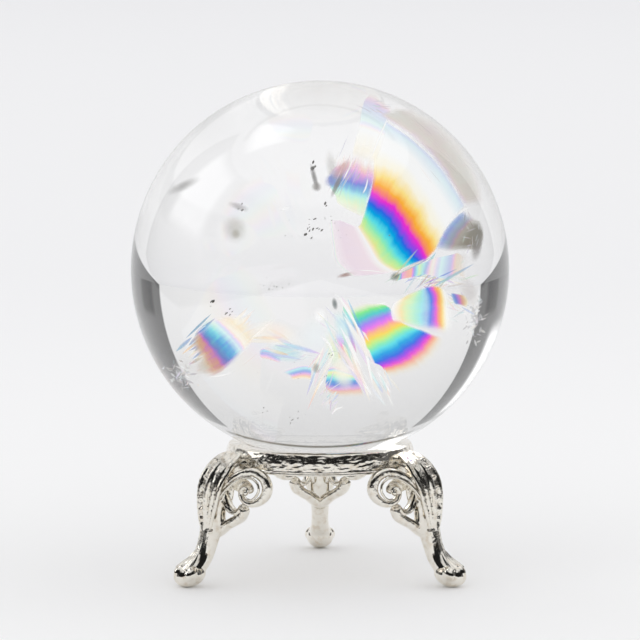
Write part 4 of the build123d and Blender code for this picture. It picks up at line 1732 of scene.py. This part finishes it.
    def build(self, plating: bpy.types.Material) -> list[bpy.types.Object]:
        """Makes the three legs from one skin.

        Args:
            plating: The legs' finish.

        Returns:
            The legs.
        """
        pattern = self.skin()
        legs = []
        for node, angle in self.angles.items():
            mesh = pattern.copy()
            mesh.transform(Matrix.Rotation(math.radians(angle), 4, "Z"))
            name = node.replace("leg_", "scroll_leg_")
            mesh.name = name
            leg = dress(add_object(name, mesh), plating, Body.STAND, Slot.PLATING)
            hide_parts(node)
            legs.append(leg)
        bpy.data.meshes.remove(pattern)
        return legs


@dataclass
class LegScrews:
    """The three hidden screws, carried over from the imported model."""

    prefix: str = "leg_screw_"

    def build(self, steel: bpy.types.Material) -> list[bpy.types.Object]:
        """Gives the screws their finish."""
        screws = [node for name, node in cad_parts.items() if name.startswith(self.prefix)]
        for screw in screws:
            screw.data.materials.clear()
            screw.data.materials.append(steel)
        return screws


# ---------------------------------------------------------------------------
# The studio
# ---------------------------------------------------------------------------


@dataclass(frozen=True)
class Viewpoint:
    """Where the camera stands: its distance from the ball and its height, in degrees."""

    distance: float = 0.600
    elevation: float = 5.70
    pitch: float = 6.46
    lens: float = 212.7

    def place(self, target: Vector) -> Vector:
        """The camera's place, in front of the target and a little above it."""
        rise = math.radians(self.elevation)
        return target + Vector(
            (0.0, -self.distance * math.cos(rise), self.distance * math.sin(rise))
        )


@dataclass
class Studio:
    """A pale seamless table in a soft white room with dark sides, and the camera.

    Directions are (turn, rise) in degrees: the turn from straight ahead, positive to
    the right, and the rise above the horizon.
    """

    target: Vector
    viewpoint: Viewpoint
    floor_size: float = 14.0
    backdrop: float = 0.875
    lamp_low: float = 1.36
    lamp_high: float = 0.77
    screen_low: float = 0.865
    screen_high: float = 0.74
    screen_turn: float = 47.5
    side_dark: float = 0.085
    side_pale: float = 0.46
    side_deep: float = 0.13
    room_dark: float = 0.012
    room_pale: float = 0.26
    softbox: float = 0.93
    window: float = 1.75

    def build(self) -> None:
        """Sets the floor, the world and the camera."""
        self.add_floor()
        self.set_world()
        self.add_camera()
        view = bpy.context.scene.view_settings
        view.view_transform = "Standard"
        view.look = "None"

    def add_floor(self) -> None:
        """Lays the table top at the height that the feet stand on.

        It is pale wherever it is looked at, with painted light: paler near the stand, lifting the shade
        cast there, and darker far off. The ball and the metal see it end in the dark at both sides, as
        a paper sweep does.
        """
        work = bmesh.new()
        bmesh.ops.create_grid(work, x_segments=1, y_segments=1, size=self.floor_size)
        mesh = take_mesh(work, "floor")
        floor = bpy.data.objects.new("floor", mesh)
        bpy.context.scene.collection.objects.link(floor)
        material, nodes, shader = new_material("pale_floor")
        place = nodes.place()
        split = nodes.add("ShaderNodeSeparateXYZ")
        nodes.feed(split.inputs[0], place)
        x, y, _ = split.outputs
        # Painted light: the floor is paler near the stand, lifting the shade that the ball and the
        # stand cast there, and darker towards the far distance.
        near = nodes.mix(nodes.noise(place, 3.0, 2.0), (0.918, 0.918, 0.920), (0.928, 0.928, 0.930))
        floor_painted_light = nodes.mix(nodes.span(y, -0.05, 0.5), near, (0.862, 0.862, 0.872))
        floor_painted_light = nodes.mix(nodes.span(y, 0.5, 4.0), floor_painted_light, (0.818, 0.818, 0.832))
        edge = nodes.math("MULTIPLY_ADD", nodes.math("MAXIMUM", y, 0.0), 1.09, 0.17)
        beyond = nodes.math("SUBTRACT", nodes.math("ABSOLUTE", x), edge)
        unseen = nodes.math("SUBTRACT", 1.0, nodes.add("ShaderNodeLightPath").outputs[0])
        dark = nodes.math("MULTIPLY", nodes.span(beyond, 0.0, 0.03), unseen)
        nodes.feed(shader.inputs["Base Color"], nodes.mix(dark, floor_painted_light, (0.12, 0.12, 0.12)))
        shader.inputs["Roughness"].default_value = 0.8
        shader.inputs["Specular IOR Level"].default_value = 0.1
        mesh.materials.append(material)

    def patch(
        self, nodes: Nodes, turn: object, rise: object, turns: Point, rises: Point, soft: float
    ) -> bpy.types.NodeSocket:
        """A mask that is 1 between two turns and two rises, given in degrees.

        Args:
            nodes: The world's nodes.
            turn: The direction's turn, in radians.
            rise: The direction's rise, in radians.
            turns: The lowest and the highest turn.
            rises: The lowest and the highest rise.
            soft: How many degrees the edges fade over.

        Returns:
            The mask.
        """
        blur = math.radians(soft)
        mask = None
        for angle, (low, high) in ((turn, turns), (rise, rises)):
            low, high = math.radians(low), math.radians(high)
            up = nodes.span(angle, low - blur, low + blur)
            down = nodes.span(angle, high - blur, high + blur, 1.0, 0.0)
            both = nodes.math("MULTIPLY", up, down)
            mask = both if mask is None else nodes.math("MULTIPLY", mask, both)
        return mask

    def set_world(self) -> None:
        """Lights the studio evenly and gives the ball and the metal a room to show."""
        world = bpy.data.worlds.new("studio")
        bpy.context.scene.world = world
        world.use_nodes = True
        nodes = Nodes(world.node_tree)
        background = world.node_tree.nodes["Background"]
        direction = nodes.add("ShaderNodeTexCoord").outputs["Generated"]
        split = nodes.add("ShaderNodeSeparateXYZ")
        nodes.feed(split.inputs[0], direction)
        x, y, z = split.outputs
        turn = nodes.math("ARCTAN2", x, y)
        wide = nodes.math("ABSOLUTE", turn)
        rise = nodes.math("ARCSINE", z)

        def grey(value: float) -> Colour:
            """A neutral colour."""
            return (value, value, value * 1.005)

        room = nodes.mix(nodes.span(rise, 0.0, 0.75), grey(self.screen_low), grey(self.screen_high))
        edge = self.screen_turn
        path = nodes.add("ShaderNodeLightPath").outputs
        pale = self.patch(nodes, wide, rise, (edge, 112), (-20, 50), 0.7)
        side = nodes.mix(path["Is Glossy Ray"], grey(self.side_pale), grey(self.side_deep))
        room = nodes.mix(pale, room, side)
        near = self.patch(nodes, wide, rise, (edge, 60), (-20, 50), 0.7)
        strip = nodes.mix(path["Is Glossy Ray"], grey(self.side_dark), grey(self.side_deep))
        room = nodes.mix(near, room, strip)
        flag = self.patch(nodes, wide, rise, (53, 64), (-12, 9), 1.5)
        flag = nodes.math("MULTIPLY", flag, path["Is Transmission Ray"])
        room = nodes.mix(flag, room, grey(self.room_dark))
        behind = self.patch(nodes, wide, rise, (104, 200), (-1, 44), 4.0)
        through = nodes.mix(path["Is Transmission Ray"], grey(self.room_dark), grey(self.room_pale))
        room = nodes.mix(behind, room, through)
        gap = self.patch(nodes, wide, rise, (-1, 60), (54.5, 57), 0.8)
        room = nodes.mix(gap, room, (0.10, 0.095, 0.07))
        overhead = nodes.span(rise, 0.98, 1.14)
        room = nodes.mix(overhead, room, grey(self.softbox))
        window = self.patch(nodes, turn, rise, (-98, -64), (16, 47), 4.0)
        room = nodes.mix(window, room, grey(self.window))
        skylight = self.patch(nodes, turn, rise, (-80, -40), (58, 74), 4.0)
        room = nodes.mix(skylight, room, grey(1.4 * self.window))

        mirrored = nodes.math("MAXIMUM", path["Is Glossy Ray"], path["Is Transmission Ray"])
        lamp = nodes.mix(nodes.span(rise, 0.2, 1.2), grey(self.lamp_low), grey(self.lamp_high))
        colour = nodes.mix(mirrored, lamp, room)
        colour = nodes.mix(path["Is Camera Ray"], colour, grey(self.backdrop))
        nodes.feed(background.inputs["Color"], colour)
        background.inputs["Strength"].default_value = 1.0

    def add_camera(self) -> None:
        """Stands the camera in front, a little above the ball."""
        data = bpy.data.cameras.new("camera")
        data.lens = self.viewpoint.lens
        data.sensor_width = 36.0
        data.dof.use_dof = False
        data.clip_start = 0.01
        data.clip_end = 100.0
        camera = bpy.data.objects.new("camera", data)
        camera.location = self.viewpoint.place(self.target)
        camera.rotation_euler = (math.radians(90.0 - self.viewpoint.pitch), 0.0, 0.0)
        bpy.context.scene.collection.objects.link(camera)
        bpy.context.scene.camera = camera


def main() -> None:
    """Builds the object piece by piece, then the studio round it."""
    logging.basicConfig(level=logging.INFO, format="%(name)s: %(message)s")
    plating = PlatingFinish().build("nickel_silver_plating", cast_grain_group())
    viewpoint = Viewpoint()
    quartz = QuartzFinish()
    ball = CrystalBall()
    LOG.info("ball: %s", ball.build(quartz.build("clear_quartz")).name)
    sight = Sight(ball.centre, ball.radius, viewpoint.place(ball.centre), quartz.refraction)
    film = FilmFinish().build("fracture_film_painted_glow")
    for flaw in Flaws(sight).build(film, SpeckFinish().build("dark_mineral")):
        LOG.info("flaw: %s", flaw.name)
    LOG.info("ring: %s", SeatRing().build(plating).name)
    for leg in ScrollLeg().build(plating):
        LOG.info("leg: %s, %d faces", leg.name, len(leg.data.polygons))
    for screw in LegScrews().build(ScrewFinish().build("bright_steel")):
        LOG.info("screw: %s", screw.name)
    Studio(ball.centre, viewpoint).build()
    LOG.info("studio: floor, world and camera")


if __name__ == "__main__":
    main()
